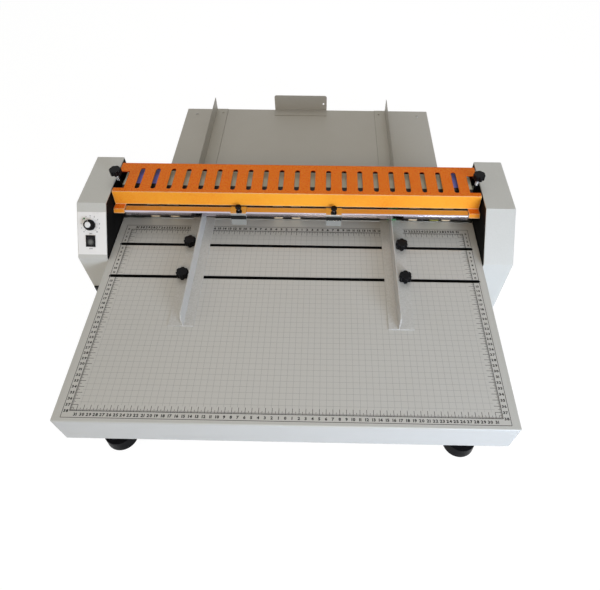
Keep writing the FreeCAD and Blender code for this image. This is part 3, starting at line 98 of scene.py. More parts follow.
area_light("window", place=(1.0, -1.75, 0.60), aim=(0.45, -0.40, 0.10), size=(0.8, 0.6), power=9.0,
           color=(0.70, 0.82, 1.0), spread=100)
area_light("room", place=(0.15, -1.80, 1.50), aim=(0.08, -0.10, 0.15), size=(0.5, 0.35), power=3.7,
           color=(1.0, 0.86, 0.68), spread=120)
area_light("ceiling", place=(0.05, 1.25, 2.0), aim=(0.0, -0.1, 0.1), size=(1.6, 1.2), power=7.2,
           color=(1.0, 0.99, 0.95), mirrored=False)
area_light("left", place=(-1.3, -0.9, 0.9), aim=(0.0, -0.2, 0.1), size=(0.6, 0.6), power=1.2,
           color=(1.0, 0.95, 0.88), spread=120, mirrored=False)


def math_output(tree, operation, first, second):
    """The output of a Math node; each operand is an output of the same tree or a plain number."""
    item = tree.nodes.new("ShaderNodeMath")
    item.operation = operation
    for socket, operand in zip(item.inputs, (first, second)):
        if isinstance(operand, bpy.types.NodeSocket):
            tree.links.new(operand, socket)
        else:
            socket.default_value = operand
    return item.outputs[0]


def white_to_camera(tree, own, white, share):
    """A tree's own shader with a share of a white one wherever a camera, mirror or glass ray ends."""
    path = tree.nodes.new("ShaderNodeLightPath")
    seen = math_output(tree, "MAXIMUM", path.outputs["Is Camera Ray"], path.outputs["Is Glossy Ray"])
    seen = math_output(tree, "MAXIMUM", seen, path.outputs["Is Transmission Ray"])
    mix = tree.nodes.new("ShaderNodeMixShader")
    tree.links.new(math_output(tree, "MULTIPLY", seen, share), mix.inputs[0])
    tree.links.new(own.outputs[0], mix.inputs[1])
    tree.links.new(white.outputs[0], mix.inputs[2])
    return mix.outputs[0]


WORLD_COLOR, WORLD_STRENGTH = (1.0, 0.99, 0.93, 1.0), 0.28
FLOOR_HALF, FLOOR_COLOR = 30.0, (0.86, 0.86, 0.86, 1.0)
FLOOR_GLOW, FLOOR_GLOW_SHARE = 1.09, 0.87       # the rest of the floor's look is its own, for the shadow

world = bpy.data.worlds.new("surroundings")
bpy.context.scene.world = world
world.use_nodes = True
world_tree = world.node_tree
soft = world_tree.nodes["Background"]
soft.inputs["Color"].default_value = WORLD_COLOR
soft.inputs["Strength"].default_value = WORLD_STRENGTH
backdrop = world_tree.nodes.new("ShaderNodeBackground")
backdrop.inputs["Color"].default_value = WHITE
backdrop.inputs["Strength"].default_value = 1.0
world_tree.links.new(white_to_camera(world_tree, soft, backdrop, 1.0),
                     world_tree.nodes["World Output"].inputs["Surface"])

floor_mesh = bpy.data.meshes.new("floor")
floor_mesh.from_pydata([(x * FLOOR_HALF, y * FLOOR_HALF, 0) for x, y in ((-1, -1), (1, -1), (1, 1), (-1, 1))],
                       [], [(0, 1, 2, 3)])
floor = bpy.data.objects.new("floor", floor_mesh)
bpy.context.scene.collection.objects.link(floor)
floor_material = bpy.data.materials.new("floor")
floor_material.use_nodes = True
floor_tree = floor_material.node_tree
floor_tree.nodes.remove(floor_tree.nodes["Principled BSDF"])
matt = floor_tree.nodes.new("ShaderNodeBsdfDiffuse")
matt.inputs["Color"].default_value = FLOOR_COLOR
glow = floor_tree.nodes.new("ShaderNodeEmission")
glow.inputs["Strength"].default_value = FLOOR_GLOW
floor_tree.links.new(white_to_camera(floor_tree, matt, glow, FLOOR_GLOW_SHARE),
                     floor_tree.nodes["Material Output"].inputs["Surface"])
floor_mesh.materials.append(floor_material)


# ---------------------------------------------------------------- materials

finishes = {}                       # each material of the object by its name
CUT = 0.0003                        # metres over which a colour changes to the one behind it
BOX_CUT = 0.0002                    # the same at the sides of a coloured box
FORWARD = (-0.6, -0.9)              # Y of a normal, from a face that begins to look forward to one that does
ROUGHLY_FORWARD = (-0.6, -0.3)      # the same, from a face that does to one that doesn't at all
REAR_FORWARD = (-0.5, -0.8)         # as FORWARD, for the rear panel and cover
UPWARD = (0.55, 0.95)               # Z of a normal, from a face that begins to look up to one that does
EDGE_TURN = (0.86, 0.99)            # cosine between a face and its rounded edge, from one that takes the edge colour (wear, painted highlight or painted shade) to untouched
# black paint, and painted shade where a piece lies in shadow
PAINT_AND_SHADE_BLACK = (0.012, 0.012, 0.012, 1.0)
MIX_FIRST, MIX_SECOND, MIX_COLOR = 6, 7, 2      # numbers of a Mix node's colour inputs and output


class Surface:
    """One procedural material around a Principled shader; each method adds a layer to it."""

    def __init__(self, name, color, rough, metal=0.0, specular=0.5):
        finishes[name] = self
        self.material = bpy.data.materials.new(name)
        self.material.use_nodes = True
        self.tree = self.material.node_tree
        self.shader = self.tree.nodes["Principled BSDF"]
        self.shader.inputs["Base Color"].default_value = color
        self.shader.inputs["Roughness"].default_value = rough
        self.shader.inputs["Metallic"].default_value = metal
        self.shader.inputs["Specular IOR Level"].default_value = specular
        self.color = color
        self.color_from = None
        self.normal_from = None
        texture_space = self.tree.nodes.new("ShaderNodeTexCoord")
        self.coordinates = texture_space.outputs["Object"]
        self.own_normal = texture_space.outputs["Normal"]       # turns with the piece when it moves

    def node(self, kind, **values):
        """A new node; each value goes to its property or, where it has none of that name, to its input."""
        item = self.tree.nodes.new(kind)
        for key, value in values.items():
            if hasattr(item, key):
                setattr(item, key, value)
            else:
                item.inputs[key].default_value = value
        return item

    def link(self, output, item, socket):
        self.tree.links.new(output, item.inputs[socket])

    def vector_math(self, operation, first, second=None):
        """A Vector Math node; the second operand is an output or plain numbers."""
        item = self.node("ShaderNodeVectorMath", operation=operation)
        self.link(first, item, 0)
        if isinstance(second, bpy.types.NodeSocket):
            self.link(second, item, 1)
        elif second is not None:
            item.inputs[1].default_value = second
        return item

    def split(self, vector):
        """The outputs X, Y and Z of a vector."""
        parts = self.node("ShaderNodeSeparateXYZ")
        self.link(vector, parts, 0)
        return parts.outputs

    def noise(self, scale, stretch=(1, 1, 1), detail=3.0):
        """A noise of 0 to 1 over the object, its scale in features per metre."""
        spread = self.node("ShaderNodeMapping", Scale=stretch)
        self.link(self.coordinates, spread, "Vector")
        cloud = self.node("ShaderNodeTexNoise", Scale=scale, Detail=detail)
        self.link(spread.outputs["Vector"], cloud, "Vector")
        return cloud.outputs["Fac"]

    def ramp(self, source, low, high, start=0.3, end=0.7):
        """Plain numbers from low to high as a source, such as a noise, goes from start to end."""
        remap = self.node("ShaderNodeMapRange")
        for socket, value in (("From Min", start), ("From Max", end), ("To Min", low), ("To Max", high)):
            remap.inputs[socket].default_value = value
        self.link(source, remap, "Value")
        return remap.outputs["Result"]

    def tint(self, source, color, low=0.0, high=1.0, start=0.3, end=0.7):
        """Blend another colour in by a share from low to high as a source goes from start to end."""
        mix = self.node("ShaderNodeMix", data_type="RGBA")
        self.link(self.ramp(source, low, high, start, end), mix, 0)
        mix.inputs[MIX_FIRST].default_value = self.color
        if self.color_from is not None:
            self.link(self.color_from, mix, MIX_FIRST)
        mix.inputs[MIX_SECOND].default_value = color
        self.color_from = mix.outputs[MIX_COLOR]
        self.link(self.color_from, self.shader, "Base Color")
        return self

    def tint_share(self, share, color, amount=1.0):
        """Blend another colour in by a share of 0 to 1."""
        return self.tint(share, color, 0.0, amount, 0.0, 1.0)

    def roughen(self, source, middle, below, above):
        """Let the roughness vary with a noise, from so much below its middle to so much above."""
        self.link(self.ramp(source, middle - below, middle + above), self.shader, "Roughness")
        return self

    def bump(self, source, height, strength):
        """Raise the surface by a height in metres where a noise is high."""
        item = self.node("ShaderNodeBump", Strength=strength, Distance=height)
        self.link(source, item, "Height")
        if self.normal_from is not None:
            self.link(self.normal_from, item, "Normal")
        self.normal_from = item.outputs["Normal"]
        self.link(self.normal_from, self.shader, "Normal")
        return self

    def soften(self, radius):
        """Round the edges that light catches. Comes before any bump."""
        self.edge_normal = self.node("ShaderNodeBevel", Radius=radius, samples=4).outputs["Normal"]
        self.normal_from = self.edge_normal
        self.link(self.normal_from, self.shader, "Normal")
        return self

    def wear(self, color, amount, patchy_from=0.2, ahead_of=None):
        """Blend a colour in along the rounded edges, broken up by a noise: worn paint, or a painted highlight
        or painted shade along the edge; ahead_of is a depth in metres.
        """
        true_normal = self.node("ShaderNodeNewGeometry").outputs["True Normal"]
        turn = self.vector_math("DOT_PRODUCT", self.edge_normal, true_normal).outputs["Value"]
        edge = self.ramp(turn, 1.0, 0.0, *EDGE_TURN)
        share = math_output(self.tree, "MULTIPLY", edge, self.ramp(self.noise(90), patchy_from, 1.0))
        if ahead_of is not None:
            share = math_output(self.tree, "MULTIPLY", share, self.depth_share(ahead_of, 1.0, 0.0))
        return self.tint_share(share, color, amount)

    def depth_share(self, y, before, behind):
        """One number ahead of a depth in metres, another behind it."""
        return self.ramp(self.split(self.coordinates)["Y"], before, behind, y, y + CUT)

    def forward_faces_behind(self, y, color):
        """Colour the faces that look forward and lie behind a depth in metres."""
        forward = self.ramp(self.split(self.own_normal)["Y"], 1.0, 0.0, *ROUGHLY_FORWARD)
        share = math_output(self.tree, "MULTIPLY", forward, self.depth_share(y, 0.0, 1.0))
        return self.tint_share(share, color)

    def facing(self, axis, color, start, end):
        """Blend another colour in as a face's own normal turns along an axis, from start to end."""
        return self.tint(self.split(self.own_normal)[axis], color, 0.0, 1.0, start, end)

    def inside(self, low, high, color):
        """Colour what lies within a box given by two corners, in metres."""
        offset = self.vector_math("SUBTRACT", self.coordinates, (low + high) / 2).outputs["Vector"]
        reach = self.vector_math("ABSOLUTE", offset).outputs["Vector"]
        past = self.split(self.vector_math("SUBTRACT", reach, (high - low) / 2).outputs["Vector"])
        furthest = math_output(self.tree, "MAXIMUM", past["X"], past["Y"])
        furthest = math_output(self.tree, "MAXIMUM", furthest, past["Z"])
        return self.tint(furthest, color, 1.0, 0.0, 0.0, BOX_CUT)

    def spot(self, place, radius, color):
        """Blend another colour in around a point of the object, in metres."""
        apart = self.vector_math("DISTANCE", self.coordinates, place).outputs["Value"]
        return self.tint(apart, color, 1.0, 0.0, radius * 0.3, radius)

    def blacken_behind(self, y):
        """Black instead of bare metal behind a depth in metres: black paint, or painted shade where the piece
        lies in shadow.
        """
        self.link(self.depth_share(y, 1.0, 0.0), self.shader, "Metallic")
        return self.tint(self.split(self.coordinates)["Y"], PAINT_AND_SHADE_BLACK, 0.0, 1.0, y, y + CUT)

    def coat_front(self, color):
        """Paint instead of bare metal on the faces that look forward."""
        self.link(self.ramp(self.split(self.own_normal)["Y"], 1.0, 0.0, *FORWARD), self.shader, "Metallic")
        return self.facing("Y", color, *FORWARD)


def srgb(red, green, blue):
    """Linear colour from display levels of 0 to 255."""
    def linear(level):
        level /= 255
        return level / 12.92 if level <= 0.04045 else ((level + 0.055) / 1.055) ** 2.4
    return (linear(red), linear(green), linear(blue), 1.0)


def shade(color, factor):
    """A colour made darker by a factor below 1, or lighter by one above."""
    return tuple(min(1.0, level * factor) for level in color[:3]) + (1.0,)


def paint(name, color, rough=0.42, soften=0.0007, specular=0.5, shaded_top=None, edge=None, edge_to=None):
    """Powder coat: fine orange peel, slight clouding and speckle, worn edges.

    The colour for the faces that look up is a painted shade of the coat. edge is a painted highlight or
    painted shade along the bends, which are lighter with wear if it isn't given, and edge_to the depth in
    metres behind which the bends keep the coat's colour."""
    coat = Surface(name, color, rough, specular=specular).soften(soften)
    if shaded_top is not None:
        coat.facing("Z", shaded_top, *UPWARD)
    coat.tint(coat.noise(5.0), shade(shaded_top or color, 0.955), high=0.5)
    coat.tint(coat.noise(420.0, detail=2.0), shade(color, 1.05), high=0.6)
    if edge is None:
        coat.wear(shade(color, 1.25), 0.45)
    else:
        coat.wear(edge, 1.0, patchy_from=0.8, ahead_of=edge_to)
    coat.roughen(coat.noise(28.0), rough, 0.06, 0.07)
    return coat.bump(coat.noise(620.0, detail=1.0), height=0.00006, strength=0.6)


def metal(name, color, rough, along=None, stain=0.88, spread=0.08):
    """Bare or plated metal; along is the axis of its brushing or machining marks."""
    bare = Surface(name, color, rough, metal=1.0).soften(0.0004)
    bare.tint(bare.noise(14.0), shade(color, stain))
    if along is None:
        bare.roughen(bare.noise(60.0, detail=4.0), rough, spread, spread)
        return bare.bump(bare.noise(900.0), height=0.00001, strength=0.5)
    stretch = tuple(0.02 if axis == along else 1.0 for axis in "xyz")
    grain = bare.noise(1400.0, stretch, detail=2.0)
    bare.roughen(grain, rough, spread, spread)
    return bare.bump(grain, height=0.000012, strength=min(0.6, 2.5 * spread))


def plastic(name, color, rough, soften=0.0006, grain=700.0, specular=0.5, cloud=1.35):
    """Moulded plastic with a faint spark-eroded grain and dull handled patches."""
    moulded = Surface(name, color, rough, specular=specular).soften(soften)
    moulded.tint(moulded.noise(60.0), shade(color, cloud), high=0.6)
    moulded.roughen(moulded.noise(45.0), rough, 0.08, 0.12)
    return moulded.bump(moulded.noise(grain, detail=2.0), height=0.00002, strength=0.5)


def printing_ink(name, color, specular=0.3):
    """Printed marks: the plastic's look with sharper edges."""
    return plastic(name, color, 0.35, soften=0.0001, specular=specular)


def rubber(name, color, rough, specular):
    """Moulded rubber: matt, pale where it is dusty, with a fine skin."""
    moulded = Surface(name, color, rough, specular=specular).soften(0.0012)
    moulded.tint(moulded.noise(40.0), shade(color, 1.8), high=0.5)
    moulded.roughen(moulded.noise(120.0), rough, 0.12, 0.12)
    return moulded.bump(moulded.noise(1500.0), height=0.00003, strength=0.6)


def printed_film(name, color, rough):
    """Laminated sheet: faint broad clouds in its tone and in its gloss, almost no relief."""
    sheet = Surface(name, color, rough)
    sheet.tint(sheet.noise(2.2, detail=2.0), shade(color, 0.95))
    sheet.tint(sheet.noise(900.0, detail=1.0), shade(color, 0.97), high=0.6)
    sheet.roughen(sheet.noise(7.0, detail=2.0), rough, 0.04, 0.04)
    return sheet.bump(sheet.noise(9.0, detail=1.0), height=0.00012, strength=0.4)


def foam(name, color):
    """Open-cell foam: dark pores over a clouded colour."""
    block = Surface(name, color, 0.95, specular=0.2)
    block.tint(block.noise(160.0), shade(color, 0.80))
    cells = block.node("ShaderNodeTexVoronoi", Scale=1300.0)
    block.link(block.coordinates, cells, "Vector")
    block.tint(cells.outputs["Distance"], shade(color, 0.45), low=0.8, high=0.0, start=0.0, end=0.35)
    return block.bump(cells.outputs["Distance"], height=0.0005, strength=0.7)


ORANGE = (1.0, 0.43, 0.040, 1.0)
# painted shade: a darker copy of the cover's orange for its faces that look up
SHADED_TOP_ORANGE = (0.88, 0.094, 0.002, 1.0)
# painted highlight along the cover's front bends
BEND_HIGHLIGHT_ORANGE = (1.0, 0.78, 0.46, 1.0)
# painted shade: dark red on the cover's forward faces behind its front bend, such as the slots' rear ends
SLOT_SHADE_RED = (0.42, 0.034, 0.008, 1.0)
# painted reflection: the orange cover mirrored in dark red on the rear panel and rear cover
REFLECTED_ORANGE_RED = (0.075, 0.014, 0.007, 1.0)
# painted shade for the sides of the table's slots; the knobs' own black is the same colour
SLOT_SHADE_BLACK = KNOB_BLACK = (0.005, 0.005, 0.006, 1.0)
SWITCH_BLACK = (0.008, 0.008, 0.009, 1.0)
# painted shade on the moving beam's front
BEAM_FRONT_SHADE = (0.008, 0.008, 0.008, 1.0)
# painted highlight along the knobs' rims
KNOB_RIM_HIGHLIGHT = (0.20, 0.20, 0.20, 1.0)
# painted highlight on the rocker
ROCKER_HIGHLIGHT_GREY = (0.16, 0.16, 0.15, 1.0)
FRONT_BEND = own_depth(27.0)            # just behind the bend between the cover's front and its top
BAR_BACK = own_depth(15.4)              # behind the bright bar's front: painted shade in black on the bar's rear strip, black paint on its arms and rail
ROCKER_HIGHLIGHT_PLACE = (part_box("power_rocker")[0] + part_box("power_rocker")[1]) / 2 + Vector((0, -0.003, 0))
ROCKER_HIGHLIGHT_RADIUS = 0.0065            # radius of the painted highlight below the rocker's middle, metres
BRUSHED_BAR = {"along": "x", "stain": 0.94, "spread": 0.04}

paint("grey_coat", srgb(203, 202, 197))
paint("tray_coat", srgb(188, 184, 176), rough=0.45)
# painted shade: a darker colour along the tray guides' edges and bends
paint("rail_coat", srgb(184, 180, 171), rough=0.45, soften=0.0014, edge=srgb(132, 126, 118))
# painted shade: the side guides' faces that look up are a darker copy of their grey
paint("guide_coat", srgb(208, 207, 205), rough=0.34, shaded_top=srgb(189, 187, 182))
# painted shade: the table's faces that look forward are a little darker
paint("table_coat", srgb(196, 195, 190), rough=0.36).facing("Y", srgb(190, 190, 188), *FORWARD)
paint("inner_coat", (0.006, 0.006, 0.006, 1.0), rough=0.60, specular=0.05)
paint("black_coat", (0.012, 0.013, 0.013, 1.0), rough=0.45, specular=0.2)
# the forward faces carry a painted reflection of the orange cover in dark red
paint("rear_coat", (0.014, 0.013, 0.013, 1.0), rough=0.50, specular=0.15).facing("Y", REFLECTED_ORANGE_RED, *REAR_FORWARD)
paint("satin_beam", srgb(210, 216, 204), rough=0.50, specular=0.4)
paint("blue_coat", srgb(126, 130, 224), rough=0.40)
# painted light on the cover: shade on the faces that look up, a highlight along the front bends, dark red
# shade on the forward faces behind the front bend
paint("orange_coat", ORANGE, rough=0.26, soften=0.0024, specular=0.08, shaded_top=SHADED_TOP_ORANGE, edge=BEND_HIGHLIGHT_ORANGE,
      edge_to=FRONT_BEND).forward_faces_behind(FRONT_BEND, SLOT_SHADE_RED)
# black behind the bar's front: painted shade on its rear strip, paint on its arms and rail
metal("bar_and_rail", srgb(202, 195, 205), 0.13, **BRUSHED_BAR).blacken_behind(BAR_BACK)
metal("hold_plate", srgb(205, 205, 209), 0.16, **BRUSHED_BAR).coat_front(srgb(150, 150, 146))
metal("steel_x", srgb(176, 175, 170), 0.34, along="x")
metal("steel_z", srgb(180, 180, 180), 0.34, along="z")
metal("dark_steel", srgb(92, 92, 96), 0.38, along="x")
metal("brass", srgb(196, 158, 84), 0.32, along="x")
metal("zinc", srgb(205, 207, 208), 0.30)
metal("screw_steel", srgb(160, 158, 152), 0.44)
metal("motor", srgb(120, 122, 126), 0.42)
plastic("label", srgb(246, 244, 242), 0.34, soften=0.0003, grain=260.0, cloud=0.97)
plastic("white_plastic", srgb(238, 238, 238), 0.30, cloud=0.98)
plastic("board", srgb(20, 92, 46), 0.38, grain=1200.0)
# the knobs' rims carry a painted highlight in grey
plastic("knob", KNOB_BLACK, 0.15, specular=0.08).wear(KNOB_RIM_HIGHLIGHT, 0.6)
plastic("switch", SWITCH_BLACK, 0.26, specular=0.15)
# a painted highlight on the rocker, below its middle
plastic("rocker", SWITCH_BLACK, 0.26, specular=0.2).spot(ROCKER_HIGHLIGHT_PLACE, ROCKER_HIGHLIGHT_RADIUS, ROCKER_HIGHLIGHT_GREY)
rubber("foot_rubber", (0.006, 0.006, 0.007, 1.0), 0.36, 0.03)
rubber("hold_strip_black", (0.010, 0.010, 0.010, 1.0), 0.62, 0.15)
foam("beige_foam", srgb(238, 216, 182))
foam("green_foam", srgb(72, 150, 92))
foam("olive_foam", srgb(150, 146, 74))
foam("grey_foam", srgb(72, 74, 70))
printed_film("film", srgb(203, 201, 196), 0.13)
printing_ink("ink", (0.020, 0.018, 0.018, 1.0), specular=0.2)
printing_ink("grid_ink", (0.27, 0.265, 0.26, 1.0))
printing_ink("panel_ink", (0.25, 0.25, 0.26, 1.0))
printing_ink("green_ink", (0.02, 0.16, 0.05, 1.0))

# painted shade: a black band along the moving beam's front edge, which lies in shadow under the cover
BEAM_SHADE_LOW, BEAM_SHADE_HIGH = own_point(-400, 47, 10), own_point(400, 57, 100)
for finish in ("satin_beam", "blue_coat"):
    finishes[finish].inside(BEAM_SHADE_LOW, BEAM_SHADE_HIGH, BEAM_FRONT_SHADE)

# painted shade in black on the sides of the table's slots, from just under its top to below its sheet
SLOT_REACH_X, SLOT_MARGIN, SLOT_SIDE_TOP, SLOT_SIDE_BOTTOM = 335, 0.3, -0.3, -4
for low, high in reversed(SLOTS):
    finishes["table_coat"].inside(own_point(-SLOT_REACH_X, low - SLOT_MARGIN, SLOT_SIDE_BOTTOM),
                                  own_point(SLOT_REACH_X, high + SLOT_MARGIN, SLOT_SIDE_TOP), SLOT_SHADE_BLACK)

FINISH_NODES = {
    "table_coat": "feed_table",
    "grey_coat": "front_legs left_housing right_housing",
    "tray_coat": "output_tray rear_stop",
    "rail_coat": "left_tray_guide right_tray_guide",
    "guide_coat": "left_side_guide right_side_guide",
    "inner_coat": "left_side_plate right_side_plate",
    "black_coat": "slot_channels",
    "rear_coat": "rear_panel rear_cover",
    "satin_beam": "blade_beam",
    "blue_coat": "beam_end_plates",
    "orange_coat": "top_cover",
    "bar_and_rail": "pressure_bar",
    "hold_plate": "left_hold_down right_hold_down",
    "steel_x": "tie_rods die_beam main_shaft motor_pinion",
    "steel_z": "draw_bars",
    "dark_steel": "crease_matrix crease_blade eccentrics drive_gear",
    "brass": "shaft_bushes",
    "zinc": "base_plate hinge_pins table_brackets left_guide_nuts right_guide_nuts",
    "motor": "gear_motor potentiometer",
    "label": "control_label_plate",
    "white_plastic": "stop_cam",
    "board": "control_board",
    "knob": "left_depth_knob right_depth_knob left_rear_clamp_knob left_front_clamp_knob right_rear_clamp_knob"
            " right_front_clamp_knob left_thumb_screw right_thumb_screw speed_dial",
    "switch": "limit_switch power_inlet switch_body",
    "rocker": "power_rocker",
    "foot_rubber": "front_feet base_feet tray_feet",
}
for finish, node_names in FINISH_NODES.items():
    for node_name in node_names.split():
        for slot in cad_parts[node_name].material_slots:
            slot.material = finishes[finish].material


# ---------------------------------------------------------------- mesh helpers

BOX_FACES = ((0, 3, 2, 1), (4, 5, 6, 7), (0, 1, 5, 4), (1, 2, 6, 5), (2, 3, 7, 6), (3, 0, 4, 7))
SHARP_FROM = math.radians(35)
WELD_STEPS = 1e5        # vertices are one where they agree to this many steps per metre


def ring_faces(rows, steps):
    """The faces of a solid whose points lie in rows of rings, with its two ends."""
    faces = [(row * steps + step, row * steps + (step + 1) % steps,
              (row + 1) * steps + (step + 1) % steps, (row + 1) * steps + step)
             for row in range(rows - 1) for step in range(steps)]
    return faces + [tuple(reversed(range(steps))), tuple((rows - 1) * steps + step for step in range(steps))]


def ring(reach, height, steps, centre=(0, 0, 0)):
    """Points round Z, at a reach that a number or a function of the angle gives."""
    points = []
    for step in range(steps):
        angle = 2 * math.pi * step / steps
        out = reach(angle) if callable(reach) else reach
        points.append((centre[0] + out * math.cos(angle), centre[1] + out * math.sin(angle),
                       centre[2] + height))
    return points


class Batch:
    """Collects closed solids, given in millimetres, into one mesh."""

    def __init__(self, place=Matrix.Identity(4)):
        self.place = place
        self.points = []
        self.faces = []

    def add(self, points, faces, place=Matrix.Identity(4)):
        start = len(self.points)
        self.points += [place @ Vector(point) for point in points]
        self.faces += [tuple(start + index for index in face) for face in faces]

    def block(self, x, y, z, place=Matrix.Identity(4)):
        """A box between two values on each axis."""
        corners = [(a, b, c) for c in z for a, b in ((x[0], y[0]), (x[1], y[0]), (x[1], y[1]), (x[0], y[1]))]
        self.add(corners, BOX_FACES, place)

    def lathe(self, profile, centre, steps=48):
        """A turned solid about Z from (radius, height) pairs; the ends are closed."""
        points = [point for radius, height in profile for point in ring(radius, height, steps, centre)]
        self.add(points, ring_faces(len(profile), steps))

    def build(self, name, finish, body, smooth=False):
        """Make the mesh, with a finish, and let it ride on a body."""
        mesh = bpy.data.meshes.new(name)
        mesh.from_pydata([self.place @ (point * MM) for point in self.points], [], self.faces)
        mesh.validate()
        mesh.materials.append(finishes[finish].material)
        piece = bpy.data.objects.new(name, mesh)
        bpy.context.scene.collection.objects.link(piece)
        if smooth:
            mesh.polygons.foreach_set("use_smooth", [True] * len(mesh.polygons))
            mesh.set_sharp_from_angle(angle=SHARP_FROM)
        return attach(piece, body)


def islands(node):
    """Corner pairs, in mm, of each separate solid of a CAD node, from left to right."""
    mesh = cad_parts[node].data
    keys = {}
    owner = [keys.setdefault(tuple(round(c * WELD_STEPS) for c in vertex.co), len(keys))
             for vertex in mesh.vertices]
    parent = list(range(len(keys)))

    def root(item):
        while parent[item] != item:
            parent[item] = parent[parent[item]]
            item = parent[item]
        return item

    for polygon in mesh.polygons:
        first = root(owner[polygon.vertices[0]])
        for vertex in polygon.vertices[1:]:
            parent[root(owner[vertex])] = first
    groups = {}
    for vertex in mesh.vertices:
        groups.setdefault(root(owner[vertex.index]), []).append(vertex.co)
    boxes = [(Vector(map(min, zip(*points))) / MM, Vector(map(max, zip(*points))) / MM)
             for points in groups.values()]
    return sorted(boxes, key=lambda pair: tuple(round(c, 1) for c in pair[0]))


CAP_HEIGHT = 0.73       # of the built-in font, as a share of its size
GLYPH_WEIGHT = 0.045    # how far the outlines are pushed out
glyph_cache = {}


def glyph(character):
    """Points, faces and width of one raised character, 1 unit high, centred on its own width."""
    if character not in glyph_cache:
        curve = bpy.data.curves.new("glyph", "FONT")
        curve.body = character
        curve.resolution_u = 2
        curve.extrude = 0.5
        curve.offset = GLYPH_WEIGHT
        holder = bpy.data.objects.new("glyph", curve)
        bpy.context.scene.collection.objects.link(holder)
        bpy.context.view_layer.update()
        mesh = bpy.data.meshes.new_from_object(holder)
        points = np.array([vertex.co for vertex in mesh.vertices])
        faces = [tuple(polygon.vertices) for polygon in mesh.polygons]
        low, high = points.min(0), points.max(0)
        points[:, 0] -= (low[0] + high[0]) / 2
        points[:, :2] /= CAP_HEIGHT
        glyph_cache[character] = (points, faces, (high[0] - low[0]) / CAP_HEIGHT)
        bpy.data.objects.remove(holder)
        bpy.data.curves.remove(curve)
        bpy.data.meshes.remove(mesh)
    return glyph_cache[character]


def write(batch, text, centre, height, z, gap=0.16, stretch=1.18):
    """Raised characters side by side about a point of the XY plane; the gap is a share of their height."""
    widths = [glyph(character)[2] * stretch for character in text]
    x = centre[0] - height * (sum(widths) + gap * (len(text) - 1)) / 2
    for character, width in zip(text, widths):
        points, faces, _width = glyph(character)
        middle = x + height * width / 2
        placed = [(middle + p[0] * height * stretch, centre[1] + (p[1] - 0.5) * height,
                   z[0] + (p[2] + 0.5) * (z[1] - z[0])) for p in points]
        batch.add(placed, faces)
        x += height * (width + gap)


# ---------------------------------------------------------------- printed film on the feed table

table_place = Matrix.Translation((0, ORIGIN_Y * MM, TABLE_Z * MM))
FILM_X, FILM_BACK, FILM_FRONT = 334.5, 14.5, -391.5
RULER_X, RULER_BACK, RULER_FRONT = 320, 0, -380
BORDER_GAP = 10.6                                       # between the ruled frame and the one round it
FILM_Z = (0.01, 0.06)
PRINT_Z = (0.04, 0.08)
RULE, TICK, MIDDLE_TICK, FINE, GRID = 0.80, 0.70, 0.56, 0.36, 0.34      # widths of the lines
TICK_LENGTH, MIDDLE_LENGTH, FINE_LENGTH = 10.0, 5.0, 2.6
GRID_PITCH_X, GRID_PITCH_Y = 10.185, 10.085             # the grid keeps its own step, apart from the scales
GRID_START_X, GRID_START_Y = -0.9, -2.4
GRID_SIDE_LINES, GRID_DEEP_LINES = 30, 36
NUMBER_OFF, SIDE_NUMBER_OFF = 5.4, 5.3                  # from the ruled frame out to the numbers' middle
FRONT_NUMBER, BACK_NUMBER, SIDE_NUMBER = 4.6, 5.4, 4.2  # heights of the numbers
LAST_ACROSS, LAST_DEEP = 31, 38

film = Batch(table_place)
for depth in ((SLOTS[1][1], FILM_BACK), (SLOTS[0][1], SLOTS[1][0]), (FILM_FRONT, SLOTS[0][0])):
    film.block((-FILM_X, FILM_X), depth, FILM_Z)
film.build("table_film", "film", "machine")

scale_print = Batch(table_place)
grid_print = Batch(table_place)


def line_x(batch, x, y, width):
    """A line along X."""
    batch.block(x, (y - width / 2, y + width / 2), PRINT_Z)


def line_y(batch, x, y, width):
    """A line along Y, broken where it would cross a slot."""
    pieces = [y]
    for low, high in SLOTS:
        split = []
        for start, end in pieces:
            if end <= low or start >= high:
                split.append((start, end))
                continue
            split += [part for part in ((start, low), (high, end)) if part[1] > part[0]]
        pieces = split
    for piece in pieces:
        batch.block((x - width / 2, x + width / 2), piece, PRINT_Z)


def clear_of_slots(y, reach=0.3):
    """True if nothing within a reach of a depth is over a slot."""
    return all(y < low - reach or y > high + reach for low, high in SLOTS)


def tick(step):
    """(length, width) of the scale's mark at a whole millimetre."""
    if step % 10 == 0:
        return TICK_LENGTH, TICK
    return (MIDDLE_LENGTH, MIDDLE_TICK) if step % 5 == 0 else (FINE_LENGTH, FINE)


for edge in (-1, 1):
    line_y(scale_print, edge * RULER_X, (RULER_FRONT, RULER_BACK), RULE)
    line_y(scale_print, edge * (RULER_X + BORDER_GAP),
           (RULER_FRONT - BORDER_GAP, RULER_BACK + BORDER_GAP), RULE)
for y in (RULER_BACK, RULER_FRONT):
    line_x(scale_print, (-RULER_X, RULER_X), y, RULE)
for y in (RULER_BACK + BORDER_GAP, RULER_FRONT - BORDER_GAP):
    line_x(scale_print, (-RULER_X - BORDER_GAP, RULER_X + BORDER_GAP), y, RULE)
for step in range(1 - RULER_X, RULER_X):
    length, width = tick(step)
    line_y(scale_print, step, (RULER_FRONT, RULER_FRONT + length), width)
    line_y(scale_print, step, (RULER_BACK - length, RULER_BACK), width)
for step in range(1, -RULER_FRONT):
    if clear_of_slots(-step):
        length, width = tick(step)
        for edge in (-1, 1):
            line_x(scale_print, sorted((edge * RULER_X, edge * (RULER_X - length))), -step, width)
for line in range(-GRID_SIDE_LINES, GRID_SIDE_LINES + 1):
    line_y(grid_print, GRID_START_X + line * GRID_PITCH_X,
           (RULER_FRONT + TICK_LENGTH, RULER_BACK - TICK_LENGTH), GRID)
